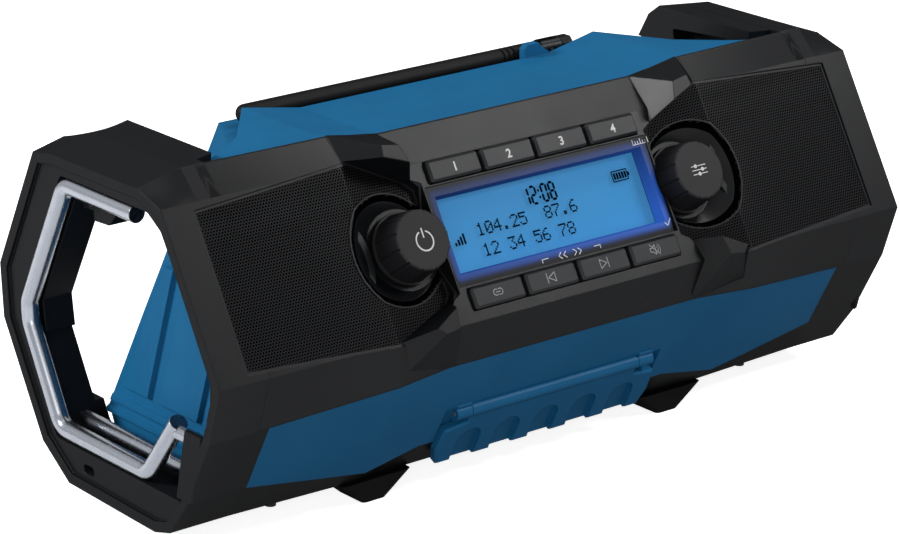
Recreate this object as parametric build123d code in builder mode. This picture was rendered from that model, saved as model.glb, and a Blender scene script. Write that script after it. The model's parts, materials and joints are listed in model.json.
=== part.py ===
from build123d import *

import os
from math import cos, degrees, radians, sin

# Compact jobsite radio. X runs along the radio, +Y to its back, +Z up.
# It is drawn from a line under its middle seam and moved at the end, so that the origin lies on
# the table under the middle of the whole radio. Sizes are in millimetres.

# ------------------------------------------------------------------ driving sizes
# Lengths along the radio: display, knob, speaker and end frame follow one another
LENS_HALF = 55.6            # middle to the end of the display
KNOB_STEP = 20.1            # end of the display to a knob's axis
SPEAKER_STEP = 18.3         # a knob's axis to the rim of its speaker
SPEAKER_R = 29.4
SPEAKER_END = 4.2           # rim of a speaker to the end wall
RIDGE_STEP = 11.6           # end wall to the ridge of an end frame
OUTER_STEP = 17.4           # ridge to the outer face of an end frame
BEZEL_STEP = 5.0            # end wall to the joint of bezel and end frame
TOP_BAR_STEP = 10.0         # end wall back to the inner face of a frame's top bar
TURN_STEP = 37.0            # end wall back to where the housing's back turns in
FACET_STEP_IN = 7.5         # a knob's axis to where the flat middle of the housing ends
FACET_STEP_OUT = 21.3       # a knob's axis to where its raised shoulder begins
KNOB_U = LENS_HALF + KNOB_STEP
SPEAKER_U = KNOB_U + SPEAKER_STEP + SPEAKER_R
HOUSING_HALF = SPEAKER_U + SPEAKER_R + SPEAKER_END
RIDGE_HALF = HOUSING_HALF + RIDGE_STEP
FRAME_HALF = RIDGE_HALF + OUTER_STEP
BEZEL_HALF = HOUSING_HALF + BEZEL_STEP
TOP_BAR_HALF = HOUSING_HALF - TOP_BAR_STEP
TURN_HALF = HOUSING_HALF - TURN_STEP
FACET_IN = KNOB_U - FACET_STEP_IN
FACET_OUT = KNOB_U + FACET_STEP_OUT

# Front face, a plane that leans back
FRONT_LEAN = 30.0
CREASE_Y = -80.6
CREASE_Z = 84.4
FACE_HEIGHT = 75.5

# Walls and clearances
WALL = 3.0
SLIP = 0.3                  # gap between pieces that move past each other
RUN = 0.05                  # radial clearance of a shaft in its bore
SEAT = 0.15                 # gap round a piece laid in its recess

# Controls on the front face, in the face's own u, v and w
KNOB_V = FACE_HEIGHT / 2 - 0.05
KNOB_BASE_R = 15.2
KNOB_TOP_R = 13.3
KNOB_FACE_W = 7.7
KNOB_FLUTES = 12
KNOB_TURN = 8.0
FLUTE_WIDE = 0.9
KNOB_PUSH = 0.5
SHAFT_R = 3.0
BUSH_WALL = 1.6
BUSH_R = SHAFT_R + BUSH_WALL
ENCODER_SIDE = 12.4
DISH_GAP = 2.3
DISH_RISE_R = 11.0
DISH_FLOOR_R = KNOB_BASE_R + DISH_GAP
DISH_R = DISH_FLOOR_R + DISH_RISE_R
DISH_FLOOR_T = 2.0
DISH_W = -8.4
GRILLE_LOW_W = -7.1
EAR_GAP = 1.6
EAR_R = KNOB_BASE_R + EAR_GAP
PANEL_TOP_W = -1.9
PANEL_T = 1.6
LENS_HIGH = 32.6
LENS_V = FACE_HEIGHT / 2 + 0.15
LENS_V0 = LENS_V - LENS_HIGH / 2
LENS_V1 = LENS_V + LENS_HIGH / 2
PANEL_EDGE = 4.4
PANEL_EDGE_LOW = 6.0
PANEL_EDGE_HIGH = 5.2
PANEL_HALF = LENS_HALF + PANEL_EDGE
PANEL_V0 = LENS_V0 - PANEL_EDGE_LOW
PANEL_V1 = LENS_V1 + PANEL_EDGE_HIGH
LENS_W = -7.2
LENS_T = 1.2
LCD_T = 4.0
LIGHT_T = 3.6
BOARD_T = 1.6
BOARD_EDGE = 16.3
BOARD_HALF = KNOB_U + BOARD_EDGE
BUTTON_COUNT = 4
ROW_OVER = 4.0
BUTTON_PITCH = (2 * LENS_HALF + ROW_OVER) / BUTTON_COUNT
BUTTON_GAP = 1.8
BUTTON_HIGH = 9.2
BUTTON_TRAVEL = 0.8
ROW_GAP_HIGH = 1.2
ROW_GAP_LOW = 1.4
TOP_ROW_V = PANEL_V1 + ROW_GAP_HIGH + BUTTON_HIGH / 2
LOW_ROW_V = PANEL_V0 - ROW_GAP_LOW - BUTTON_HIGH / 2
TOP_ROW_W = 0.6
LOW_ROW_W = 2.0
MAT_T = 1.2

# Speaker grilles and speakers
GRILLE_T = 1.2
GRILLE_W = -1.6
GRILLE_STEP = 9.5
GRILLE_OUT_U = BEZEL_HALF + GRILLE_STEP
GRILLE_IN_U = KNOB_U + 17.6
CONE_EDGE = 4.4
CONE_R = SPEAKER_R - CONE_EDGE
BASKET_DEEP = 17.0
MAGNET_R = 16.0
MAGNET_T = 10.0
SPEAKER_W = -15.0

# Grip bars in the end frames
BAR_R = 3.9
BAR_INSET = 4.4
BAR_X = FRAME_HALF - BAR_INSET
PIN_R = 3.2
STUB_R = 3.0
BAR_STEP = 12.8
BAR_BEND = 9.0

# Antenna
MAST_R = 4.2
MAST_Y = 33.5
MAST_Z = 154.3
MAST_END = 2.0
MAST_TIP = MAST_END - FACET_OUT
FOLD_STEP = 22.0
FOLD_X = FACET_OUT - FOLD_STEP
FOLD_PIN_R = 1.3
SWIVEL_R = 2.3
KNUCKLE_LONG = 5.6
BRACKET_LONG = 6.4
KNUCKLE_END = FOLD_X + KNUCKLE_LONG
BRACKET_END = KNUCKLE_END + BRACKET_LONG
TONGUE_T = 2.8
SHELF_Z = 149.4

# Port door in the lower front
DOOR_HALF = 58.4
DOOR_EAR = 12.1
DOOR_TAB_HALF = DOOR_HALF - DOOR_EAR
DOOR_T = 4.0
DOOR_DOWN = 59.0
SCALLOPS = 5
SCALLOP_PITCH = 21.4
SCALLOP_WIDE = 13.5
HINGE_DOWN = 28.2
PANEL_RISE = 2.0
HINGE_R = 3.3
HINGE_PIN_R = 1.2
EAR_LONG = 8.0
BAY_DEEP = 16.0
PORT_DOWN = 38.5
PORT_HALF = 30.0
PORT_HIGH = 12.0

# Battery
PACK_HALF = 37.0
PACK_FRONT = 9.0
PACK_LOW = 32.0
PACK_HIGH = 96.0
PACK_GAP = 0.4
BAY_WALL = 2.4
RAIL = 3.0
LATCH_TRAVEL = 2.0

# Feet and tray
TRAY_Z = 9.3
FOOT_MID = 82.6
FOOT_TIP = 12.2
FOOT_ROOT = 36.4
FOOT_FRONT = -44.4
FOOT_BACK = 40.0
FOOT_DEEP = 22.0

# ------------------------------------------------------------------ working planes
LEAN_S = sin(radians(FRONT_LEAN))
LEAN_C = cos(radians(FRONT_LEAN))
FRONT = Plane(origin=(0, CREASE_Y, CREASE_Z), x_dir=(1, 0, 0), z_dir=(0, -LEAN_C, LEAN_S))


def face_point(v, w):
    """Y and Z of a point of the front face, v up the face and w out of it."""
    return (CREASE_Y + v * LEAN_S - w * LEAN_C, CREASE_Z + v * LEAN_C + w * LEAN_S)


def inset(points, wall):
    """Moves every side of a closed outline inwards by the wall, counter-clockwise outlines only."""
    count = len(points)
    moved = []
    for i in range(count):
        a, b, c = points[i - 1], points[i], points[(i + 1) % count]
        d1 = Vector(b[0] - a[0], b[1] - a[1]).normalized()
        d2 = Vector(c[0] - b[0], c[1] - b[1]).normalized()
        n1, n2 = Vector(-d1.Y, d1.X), Vector(-d2.Y, d2.X)
        scale = wall / (1 + n1.dot(n2))
        moved.append((b[0] + scale * (n1.X + n2.X), b[1] + scale * (n1.Y + n2.Y)))
    return moved


def yz_outline(x, points):
    """A closed outline, drawn in Y and Z, at the station x."""
    with BuildSketch(Plane.YZ.offset(x)) as outline:
        with BuildLine():
            Polyline(*points, close=True)
        make_face()
    return outline.sketch


def station_block(stations):
    """A block through outlines at stations along X, with flat facets between them."""
    with BuildPart() as block:
        for x, points in stations:
            add(yz_outline(x, points))
        loft(ruled=True)
    return block.part


def both_ends(stations):
    """Stations of the right half and their mirror images, in order along X."""
    return [(-x, points) for x, points in reversed(stations)] + stations


def face_prism(points, w0, w1):
    """A prism that stands on the front face, from the height w0 to w1."""
    with BuildPart() as prism:
        with BuildSketch(FRONT.offset(w0)):
            with BuildLine():
                Polyline(*points, close=True)
            make_face()
        extrude(amount=w1 - w0)
    return prism.part


def face_plate(half, v0, v1, w0, w1):
    """A plain rectangular plate on the front face."""
    with BuildPart() as plate:
        with BuildSketch(FRONT.offset(w0)):
            with Locations((0, (v0 + v1) / 2)):
                Rectangle(2 * half, v1 - v0)
        extrude(amount=w1 - w0)
    return plate.part


# ------------------------------------------------------------------ outlines across the radio
# Each outline runs round in Y and Z: top front, top back, antenna shelf, back, floor, front.
SHELF_BACK = (45.0, 148.8)
BACK_HIGH = (77.0, 95.0)
BACK_LOW = (76.0, 72.0)
BACK_FOOT = (51.5, 25.0)
FLOOR_BACK = (36.0, 17.0)
FLOOR_FRONT = (-42.0, 17.0)
HOUSING_MID = [
    (-75.5, 65.4), (-54.2, 24.5), FLOOR_FRONT, FLOOR_BACK, BACK_FOOT, BACK_LOW, BACK_HIGH,
    SHELF_BACK, (27.5, SHELF_Z), (25.5, 154.5), (-29.0, 154.5),
]
HOUSING_SHOULDER = [
    (-80.2, 65.0), (-55.2, 20.0), FLOOR_FRONT, FLOOR_BACK, BACK_FOOT, BACK_LOW, BACK_HIGH,
    SHELF_BACK, (29.0, SHELF_Z), (27.5, 159.3), (-30.7, 159.3),
]
HOUSING_END = [
    (-72.0, 59.7), (-54.8, 28.8), (-44.0, 20.0), (36.0, 20.0), (45.6, 35.2), (18.0, 82.0),
    (3.0, 107.0), (-16.0, 139.0), (-19.5, 145.0), (-25.5, 155.5), (-31.4, 160.0),
]
HOUSING_TURN = [
    (-76.8, 63.0), (-55.1, 23.3), (-42.8, 18.1), (36.0, 18.1), (49.3, 28.9), (53.0, 75.8),
    (47.5, 99.6), (2.0, 148.0), (0.5, 151.0), (-1.1, 157.4), (-31.0, 159.5),
]
HOUSING_STATIONS = both_ends(
    [
        (FACET_IN, HOUSING_MID), (FACET_OUT, HOUSING_SHOULDER), (TURN_HALF, HOUSING_TURN),
        (HOUSING_HALF, HOUSING_END),
    ]
)


def open_front(points):
    """The same outline with its front pushed far forward, so that a cavity opens there."""
    front_low, front_foot, top = Vector(*points[0]), Vector(*points[1]), points[-1]
    reach = front_low + (front_low - front_foot) * 0.7
    return [(reach.X, reach.Y)] + points[1:-1] + [(top[0] - 45, top[1])]


BEZEL_MID = [(-75.5, 65.4), (-28.6, 155.5), face_point(FACE_HEIGHT - 5.0, -2.0), face_point(0, 0)]
BEZEL_SHOULDER = [(-80.2, 65.0), (-30.5, 160.0), face_point(FACE_HEIGHT, 0), face_point(0, 0)]
BEZEL_END = [(-72.0, 59.7), (-31.4, 161.0), face_point(FACE_HEIGHT, 0), face_point(0, 0)]
BEZEL_STATIONS = both_ends(
    [
        (FACET_IN, BEZEL_MID), (FACET_OUT, BEZEL_SHOULDER), (BEZEL_HALF, BEZEL_END),
    ]
)

TRAY_MID = [
    (-54.2, 24.5), (-42.0, 11.6), (-31.0, TRAY_Z), (33.5, TRAY_Z), (51.5, 25.0),
    (36.0, 17.0), (-42.0, 17.0),
]
TRAY_SHOULDER = [
    (-55.2, 20.0), (-42.0, 11.0), (-31.0, TRAY_Z), (33.5, TRAY_Z), (51.5, 25.0),
    (36.0, 17.0), (-42.0, 17.0),
]
TRAY_END = [
    (-54.8, 28.8), (-41.9, 12.4), (-30.8, TRAY_Z), (33.5, TRAY_Z + 1), (45.6, 35.2),
    (36.0, 20.0), (-44.0, 20.0),
]
TRAY_STATIONS = both_ends(
    [(FACET_IN, TRAY_MID), (FACET_OUT, TRAY_SHOULDER), (HOUSING_HALF, TRAY_END)]
)

# End frame: outlines at its inner face, its ridge and its outer face
FRAME_LOW = [(-72.0, 59.7), (-54.8, 28.8), (-41.9, 12.4), (-30.8, TRAY_Z), (33.5, TRAY_Z + 1.3)]
FRAME_BACK = [(52.8, 23.9), (79.8, 72.0), (80.9, 95.9)]
FRAME_INNER = FRAME_LOW + FRAME_BACK + [
    (53.0, 153.4), (29.0, 161.0), (-31.4, 161.0), face_point(FACE_HEIGHT, 0), face_point(0, 0),
]
TOP_BAR_INNER = [
    (-22.0, 145.0), (40.0, 143.0), (53.0, 143.8), (46.0, 155.5), (38.5, 160.9), (-22.0, 160.9),
]
TOP_BAR_OUTER = [
    (-29.0, 145.0), (40.0, 143.0), (58.6, 143.8), (53.9, 154.2), (29.5, 160.9), (-29.0, 160.9),
]
FRAME_RIDGE = FRAME_LOW + FRAME_BACK + [
    (54.0, 154.4), (29.0, 161.1), (-31.5, 161.1), face_point(FACE_HEIGHT, 0), face_point(0, 0),
]
FRAME_OUTER = FRAME_LOW + FRAME_BACK + [
    (50.5, 151.9), (38.2, 154.0), (-26.0, 154.7), face_point(FACE_HEIGHT, 0), face_point(0, 0),
]
GRIP_OPENING = [
    (-31.0, 145.5), (-40.0, 139.8), (-45.1, 131.6), (-71.5, 84.9), (-70.5, 68.0), (-50.0, 27.5),
    (44.5, 27.5), (68.0, 72.0), (68.5, 82.0), (33.0, 145.5),
]
BAR_PATH = [(-19.2, 141.4), (32.9, 141.4), (65.5, 82.0), (65.0, 73.0), (43.4, 31.6),
            (-22.0, 31.6), (-44.3, 60.0)]

# Speaker grille, on the front face of the right half
GRILLE = [
    (GRILLE_OUT_U, 3.8), (GRILLE_OUT_U, FACE_HEIGHT - 3.5), (GRILLE_IN_U, FACE_HEIGHT + 1.8),
    (KNOB_U - 9.2, FACE_HEIGHT - 10.5), (KNOB_U - 13.7, FACE_HEIGHT - 15.0),
    (KNOB_U - 13.7, 14.5), (KNOB_U - 9.2, 9.0), (GRILLE_IN_U, -1.6),
]

# ------------------------------------------------------------------ outer forms
housing_block = station_block(HOUSING_STATIONS)
housing_hollow = station_block(
    [(x * (1 - WALL / HOUSING_HALF), inset(open_front(p), WALL)) for x, p in HOUSING_STATIONS]
)
bezel_block = station_block(BEZEL_STATIONS)
tray_block = station_block(TRAY_STATIONS)
frame_block = station_block(
    [(HOUSING_HALF, FRAME_INNER), (RIDGE_HALF, FRAME_RIDGE), (FRAME_HALF, FRAME_OUTER)]
)

# The planes of the lower front and of sections across the front face
BAND_TOP = Vector(0, *HOUSING_MID[0])
BAND_RUN = (Vector(0, *HOUSING_MID[0]) - Vector(0, *HOUSING_MID[1])).normalized()
BAND = Plane(origin=BAND_TOP, x_dir=(1, 0, 0), z_dir=(0, -BAND_RUN.Z, BAND_RUN.Y))
ACROSS = Plane(origin=FRONT.origin, x_dir=(1, 0, 0), z_dir=(0, -LEAN_S, -LEAN_C))

KNOB_SPOTS = [(-KNOB_U, KNOB_V), (KNOB_U, KNOB_V)]
SPEAKER_SPOTS = [(-SPEAKER_U, KNOB_V), (SPEAKER_U, KNOB_V)]
BUTTON_LONG = BUTTON_PITCH - BUTTON_GAP
BUTTON_US = [(i - (BUTTON_COUNT - 1) / 2) * BUTTON_PITCH for i in range(BUTTON_COUNT)]
ROW_HALF = BUTTON_PITCH * BUTTON_COUNT / 2 - BUTTON_GAP / 2 + SLIP
PANEL_FLOOR = PANEL_TOP_W - PANEL_T
LENS_TOP = LENS_W
LCD_TOP = LENS_TOP - LENS_T
LIGHT_TOP = LCD_TOP - LCD_T
BOARD_W = LIGHT_TOP - LIGHT_T
FLANGE_TOP = -7.8
FLANGE_T = 1.2
FLANGE_OVER = 1.2
STEM_END = BOARD_W + MAT_T + BUTTON_TRAVEL + 0.1

# The four bumpers at the corners of the console: outlines at their root and at their plateau
HORN_ROOT_W = -12.0
HORN_TOP_W = 11.2
# Their corners are measured from the knob's axis and from the upper or the lower edge of the face.
HIGH_HORN_ROOT = [(-7.3, 13.1), (-15.4, -15.1), (30.8, 6.3), (23.6, 19.3)]
HIGH_HORN_TOP = [(-0.9, 2.0), (-3.5, -6.0), (8.3, -1.5), (7.5, 3.4)]
LOW_HORN_ROOT = [(-15.4, 13.2), (-9.7, -13.4), (19.3, -13.4), (29.3, -0.4)]
LOW_HORN_TOP = [(-2.7, 7.0), (-1.1, -1.7), (6.3, -2.6), (9.5, 0.6)]


def horn(root, top, edge):
    """A bumper that rises from a wide root to a small plateau, beside an edge of the face."""
    with BuildPart() as body:
        with BuildSketch(FRONT.offset(HORN_ROOT_W)):
            with BuildLine():
                Polyline(*[(KNOB_U + u, edge + v) for u, v in root], close=True)
            make_face()
        with BuildSketch(FRONT.offset(HORN_TOP_W)):
            with BuildLine():
                Polyline(*[(KNOB_U + u, edge + v) for u, v in top], close=True)
            make_face()
        loft(ruled=True)
    return body.part


with BuildPart() as horns:
    add(horn(HIGH_HORN_ROOT, HIGH_HORN_TOP, FACE_HEIGHT))
    add(horn(LOW_HORN_ROOT, LOW_HORN_TOP, 0))
    mirror(about=Plane.YZ)
    add(housing_block, mode=Mode.SUBTRACT)
    with Locations((0, 20, 160)):
        Box(400, 99.4, 18, mode=Mode.SUBTRACT)

# ------------------------------------------------------------------ blue housing in two shells
DOOR_BED = DOOR_DOWN - HINGE_DOWN + 4.2
with BuildPart() as blue_body:
    add(housing_block)
    add(bezel_block, mode=Mode.SUBTRACT)
    add(tray_block, mode=Mode.SUBTRACT)
    add(housing_hollow, mode=Mode.SUBTRACT)
    # bed of the port door and the port window behind it
    with BuildSketch(BAND.offset(-1.8)):
        with Locations((0, -HINGE_DOWN - DOOR_BED / 2)):
            Rectangle(2 * DOOR_HALF + 3.2, DOOR_BED)
    extrude(amount=20, mode=Mode.SUBTRACT)
    with BuildSketch(BAND.offset(-8)):
        with Locations((0, -PORT_DOWN)):
            Rectangle(2 * PORT_HALF, PORT_HIGH)
    extrude(amount=20, mode=Mode.SUBTRACT)

# Raised panels on the blue end walls, with edges that run along the slope of the wall's back
END_PANELS = [
    [(12.0, 86.0), (-3.0, 111.0), (-11.0, 111.0), (12.0, 47.0), (33.0, 47.0)],
    [(6.0, 47.0), (-15.5, 107.0), (-30.0, 107.0), (-36.0, 80.0), (-24.0, 47.0)],
    [(43.5, 38.2), (40.5, 43.4), (-34.0, 43.4), (-38.0, 38.2)],
    [(47.0, 32.2), (45.0, 36.6), (-40.0, 36.6), (-43.5, 32.2)],
]
with BuildPart() as end_panels:
    for points in END_PANELS:
        with BuildSketch(Plane.YZ.offset(HOUSING_HALF - 1)):
            with BuildLine():
                Polyline(*points, close=True)
            make_face()
        extrude(amount=1 + PANEL_RISE, taper=20)
    mirror(about=Plane.YZ)
    add(tray_block, mode=Mode.SUBTRACT)

SEAM_Y = 11.0
with BuildPart() as front_housing:
    add(blue_body)
    add(end_panels)
    with BuildSketch(Plane.XZ.offset(-SEAM_Y)):
        Rectangle(400, 400)
    extrude(amount=-100, mode=Mode.SUBTRACT)

with BuildPart() as rear_housing:
    add(blue_body)
    add(end_panels)
    with BuildSketch(Plane.XZ.offset(-SEAM_Y)):
        Rectangle(400, 400)
    extrude(amount=100, mode=Mode.SUBTRACT)
    # fin in front of the antenna
    with BuildSketch(Plane.XZ.offset(-28.0)):
        with BuildLine():
            Polyline((FOLD_X - 20.5, 149.0), (FOLD_X - 20.5, 158.6), (FOLD_X - 18.5, 160.6),
                     (FOLD_X - 12.5, 160.6), (FOLD_X - 10.0, 158.0), (FOLD_X - 5.0, 154.6),
                     (FOLD_X - 5.0, 149.0), close=True)
        make_face()
    extrude(amount=3.6)
    # mouth of the battery bay
    with Locations((0, 60, (PACK_LOW + PACK_HIGH) / 2)):
        Box(
            2 * (PACK_HALF + PACK_GAP + BAY_WALL), 60, PACK_HIGH - PACK_LOW + 2 * (PACK_GAP + BAY_WALL),
            mode=Mode.SUBTRACT,
        )

# ------------------------------------------------------------------ tray and feet
POCKET_PITCH = (HOUSING_HALF - 31.0) / 3
with BuildPart() as bottom_tray:
    add(tray_block)
    add(bezel_block, mode=Mode.SUBTRACT)
    with BuildSketch(BAND.offset(-1.8)):
        with Locations((0, -HINGE_DOWN - DOOR_BED / 2)):
            Rectangle(2 * DOOR_HALF + 3.2, DOOR_BED + 5.0)
    extrude(amount=20, mode=Mode.SUBTRACT)
    # pockets between ribs, open towards the housing
    with GridLocations(POCKET_PITCH, 29, 7, 2):
        with Locations((0, -6, 17.0)):
            Box(POCKET_PITCH - 5.0, 25, 10, mode=Mode.SUBTRACT)

with BuildPart() as feet:
    for y in (FOOT_FRONT + FOOT_DEEP / 2, FOOT_BACK - FOOT_DEEP / 2 - 4):
        for x in (-FOOT_MID, FOOT_MID):
            with BuildSketch(Plane.XY.offset(0)):
                with Locations((x, y)):
                    RectangleRounded(FOOT_TIP, FOOT_DEEP - 4, 2)
            with BuildSketch(Plane.XY.offset(TRAY_Z + 1.4)):
                with Locations((x, y)):
                    RectangleRounded(FOOT_ROOT, FOOT_DEEP, 2)
            loft()
    add(tray_block, mode=Mode.SUBTRACT)

# ------------------------------------------------------------------ beds of the grilles
def grille_field(w0, w1, margin):
    """The field of a speaker grille on the right, cut between two heights."""
    return face_prism(inset(GRILLE, margin), w0, w1)


def grille_floor(drop):
    """The space above the grille's own surface, which dips towards the console."""
    with BuildPart() as space:
        with BuildSketch(ACROSS.offset(-120)):
            with BuildLine():
                Polyline(
                    (FRAME_HALF + 4, GRILLE_W - drop), (GRILLE_IN_U + 4, GRILLE_W - drop),
                    (KNOB_U - 9.7, GRILLE_LOW_W - drop), (KNOB_U - 35.7, GRILLE_LOW_W - drop),
                    (KNOB_U - 35.7, 40), (FRAME_HALF + 4, 40), close=True,
                )
            make_face()
        extrude(amount=180)
    return space.part


grille_bed = grille_field(-20, 20, 0) & grille_floor(GRILLE_T)

# ------------------------------------------------------------------ end frames and grip bars
with BuildPart() as outer_bar:
    with BuildLine(Plane.YZ.offset(BAR_X)):
        FilletPolyline(*BAR_PATH, radius=BAR_BEND)
    with BuildSketch(Plane(origin=(BAR_X, *BAR_PATH[0]), x_dir=(1, 0, 0), z_dir=(0, 1, 0))):
        Circle(BAR_R)
    sweep()

INNER_X = BAR_X - BAR_STEP
with BuildPart() as inner_bar:
    # lower rod between the rear and the front post, and a short stub under the top bar
    for spot_z, y0, y1 in ((31.6, -53.0, 46.0), (130.6, 17.0, 44.0)):
        with BuildSketch(Plane.XZ.offset(-y1)):
            with Locations((INNER_X, spot_z)):
                Circle(BAR_R if spot_z < 100 else STUB_R)
        extrude(amount=y1 - y0)

with BuildPart() as bar_pin:
    with BuildSketch(Plane.XZ.offset(43.0)):
        with Locations((BAR_X, 56.0)):
            Circle(PIN_R)
    extrude(amount=22.0)
    add(outer_bar.part, mode=Mode.SUBTRACT)

top_bar = station_block([(TOP_BAR_HALF, TOP_BAR_INNER), (RIDGE_HALF, TOP_BAR_OUTER)])
with BuildPart() as end_frame:
    add(frame_block)
    add(top_bar)
    add(bezel_block, mode=Mode.SUBTRACT)
    add(housing_block, mode=Mode.SUBTRACT)
    add(grille_bed, mode=Mode.SUBTRACT)
    # grip opening
    with BuildSketch(Plane.YZ.offset(HOUSING_HALF - 5)):
        with BuildLine():
            Polyline(*GRIP_OPENING, close=True)
        make_face()
        fillet(vertices(), 4)
    extrude(amount=60, mode=Mode.SUBTRACT)
    # shallow field inside the raised lip of the outer face
    with BuildSketch(Plane.YZ.offset(FRAME_HALF - 1.6)):
        with BuildLine():
            Polyline(*inset(FRAME_OUTER, 4.6), close=True)
        make_face()
        fillet(vertices(), 1.5)
    extrude(amount=5, mode=Mode.SUBTRACT)
    # open side between the rear post and the housing
    with Locations((HOUSING_HALF, 75, 90)):
        Box(9, 60, 106, mode=Mode.SUBTRACT)
    # grip pad on the rear post, cut off at a slant below
    with BuildSketch(Plane.YZ.offset(HOUSING_HALF + 4.5)):
        with BuildLine():
            Polyline((33.0, 146.0), (70.0, 82.0), (69.0, 66.0), (62.6, 67.5), (64.2, 81.5), (30.2, 142.4),
                     (29.0, 146.0), close=True)
        make_face()
    extrude(amount=14.5)
    add(outer_bar.part, mode=Mode.SUBTRACT)
    add(inner_bar.part, mode=Mode.SUBTRACT)
    add(bar_pin.part, mode=Mode.SUBTRACT)
    # dished recess on the inner face of the top bar, beside the housing
    with BuildSketch(Plane.YZ.offset(TOP_BAR_HALF - 5)):
        with BuildLine():
            Polyline((-8.0, 154.6), (29.0, 151.7), (28.0, 146.5), (-8.0, 146.5), close=True)
        make_face()
        fillet(vertices(), 1.2)
    extrude(amount=15, mode=Mode.SUBTRACT)
    # lug of the short stub
    with BuildSketch(Plane.YZ.offset(INNER_X - 5.5)):
        with BuildLine():
            Polyline((25.0, 134.4), (27.0, 147.0), (4.0, 147.0), (8.0, 132.0), (13.0, 126.8),
                     (24.0, 126.2), close=True)
        make_face()
    extrude(amount=11)
    add(inner_bar.part, mode=Mode.SUBTRACT)
    # raised pad on the front post, with a notch in its edge
    with BuildSketch(Plane.YZ.offset(FRAME_HALF - 1.6)):
        with BuildLine():
            Polyline((-66.5, 61.0), (-54.5, 61.0), (-47.0, 29.5), (-57.0, 29.5), close=True)
        make_face()
    extrude(amount=1.6, taper=12)
    with BuildSketch(Plane.YZ.offset(FRAME_HALF - 1.6)):
        with Locations((-44.6, 19.8)):
            SlotOverall(7, 3.2, rotation=-55)
        with Locations((20.0, 20.0)):
            SlotOverall(8, 4)
    extrude(amount=-6, mode=Mode.SUBTRACT)
    add(outer_bar.part, mode=Mode.SUBTRACT)
    add(bar_pin.part, mode=Mode.SUBTRACT)


def left_of(piece):
    """The mirror image of a right-hand piece."""
    return mirror(piece, about=Plane.YZ)


# ------------------------------------------------------------------ bezel with console and bumpers
with BuildPart() as dishes:
    for u, v in KNOB_SPOTS:
        with BuildSketch(FRONT.offset(DISH_W)):
            with Locations((u, v)):
                Circle(DISH_FLOOR_R)
        with BuildSketch(FRONT.offset(GRILLE_W)):
            with Locations((u, v)):
                Circle(DISH_R)
        loft()
    with BuildSketch(FRONT.offset(GRILLE_W)):
        with Locations(*KNOB_SPOTS):
            Circle(DISH_R)
    extrude(amount=12)
    add(face_plate(PANEL_HALF + 1, -20, FACE_HEIGHT + 24.5, -20, 20), mode=Mode.SUBTRACT)
    with BuildSketch(FRONT.offset(DISH_W)):
        with Locations(*KNOB_SPOTS):
            Circle(EAR_R)
    extrude(amount=30)

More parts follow.
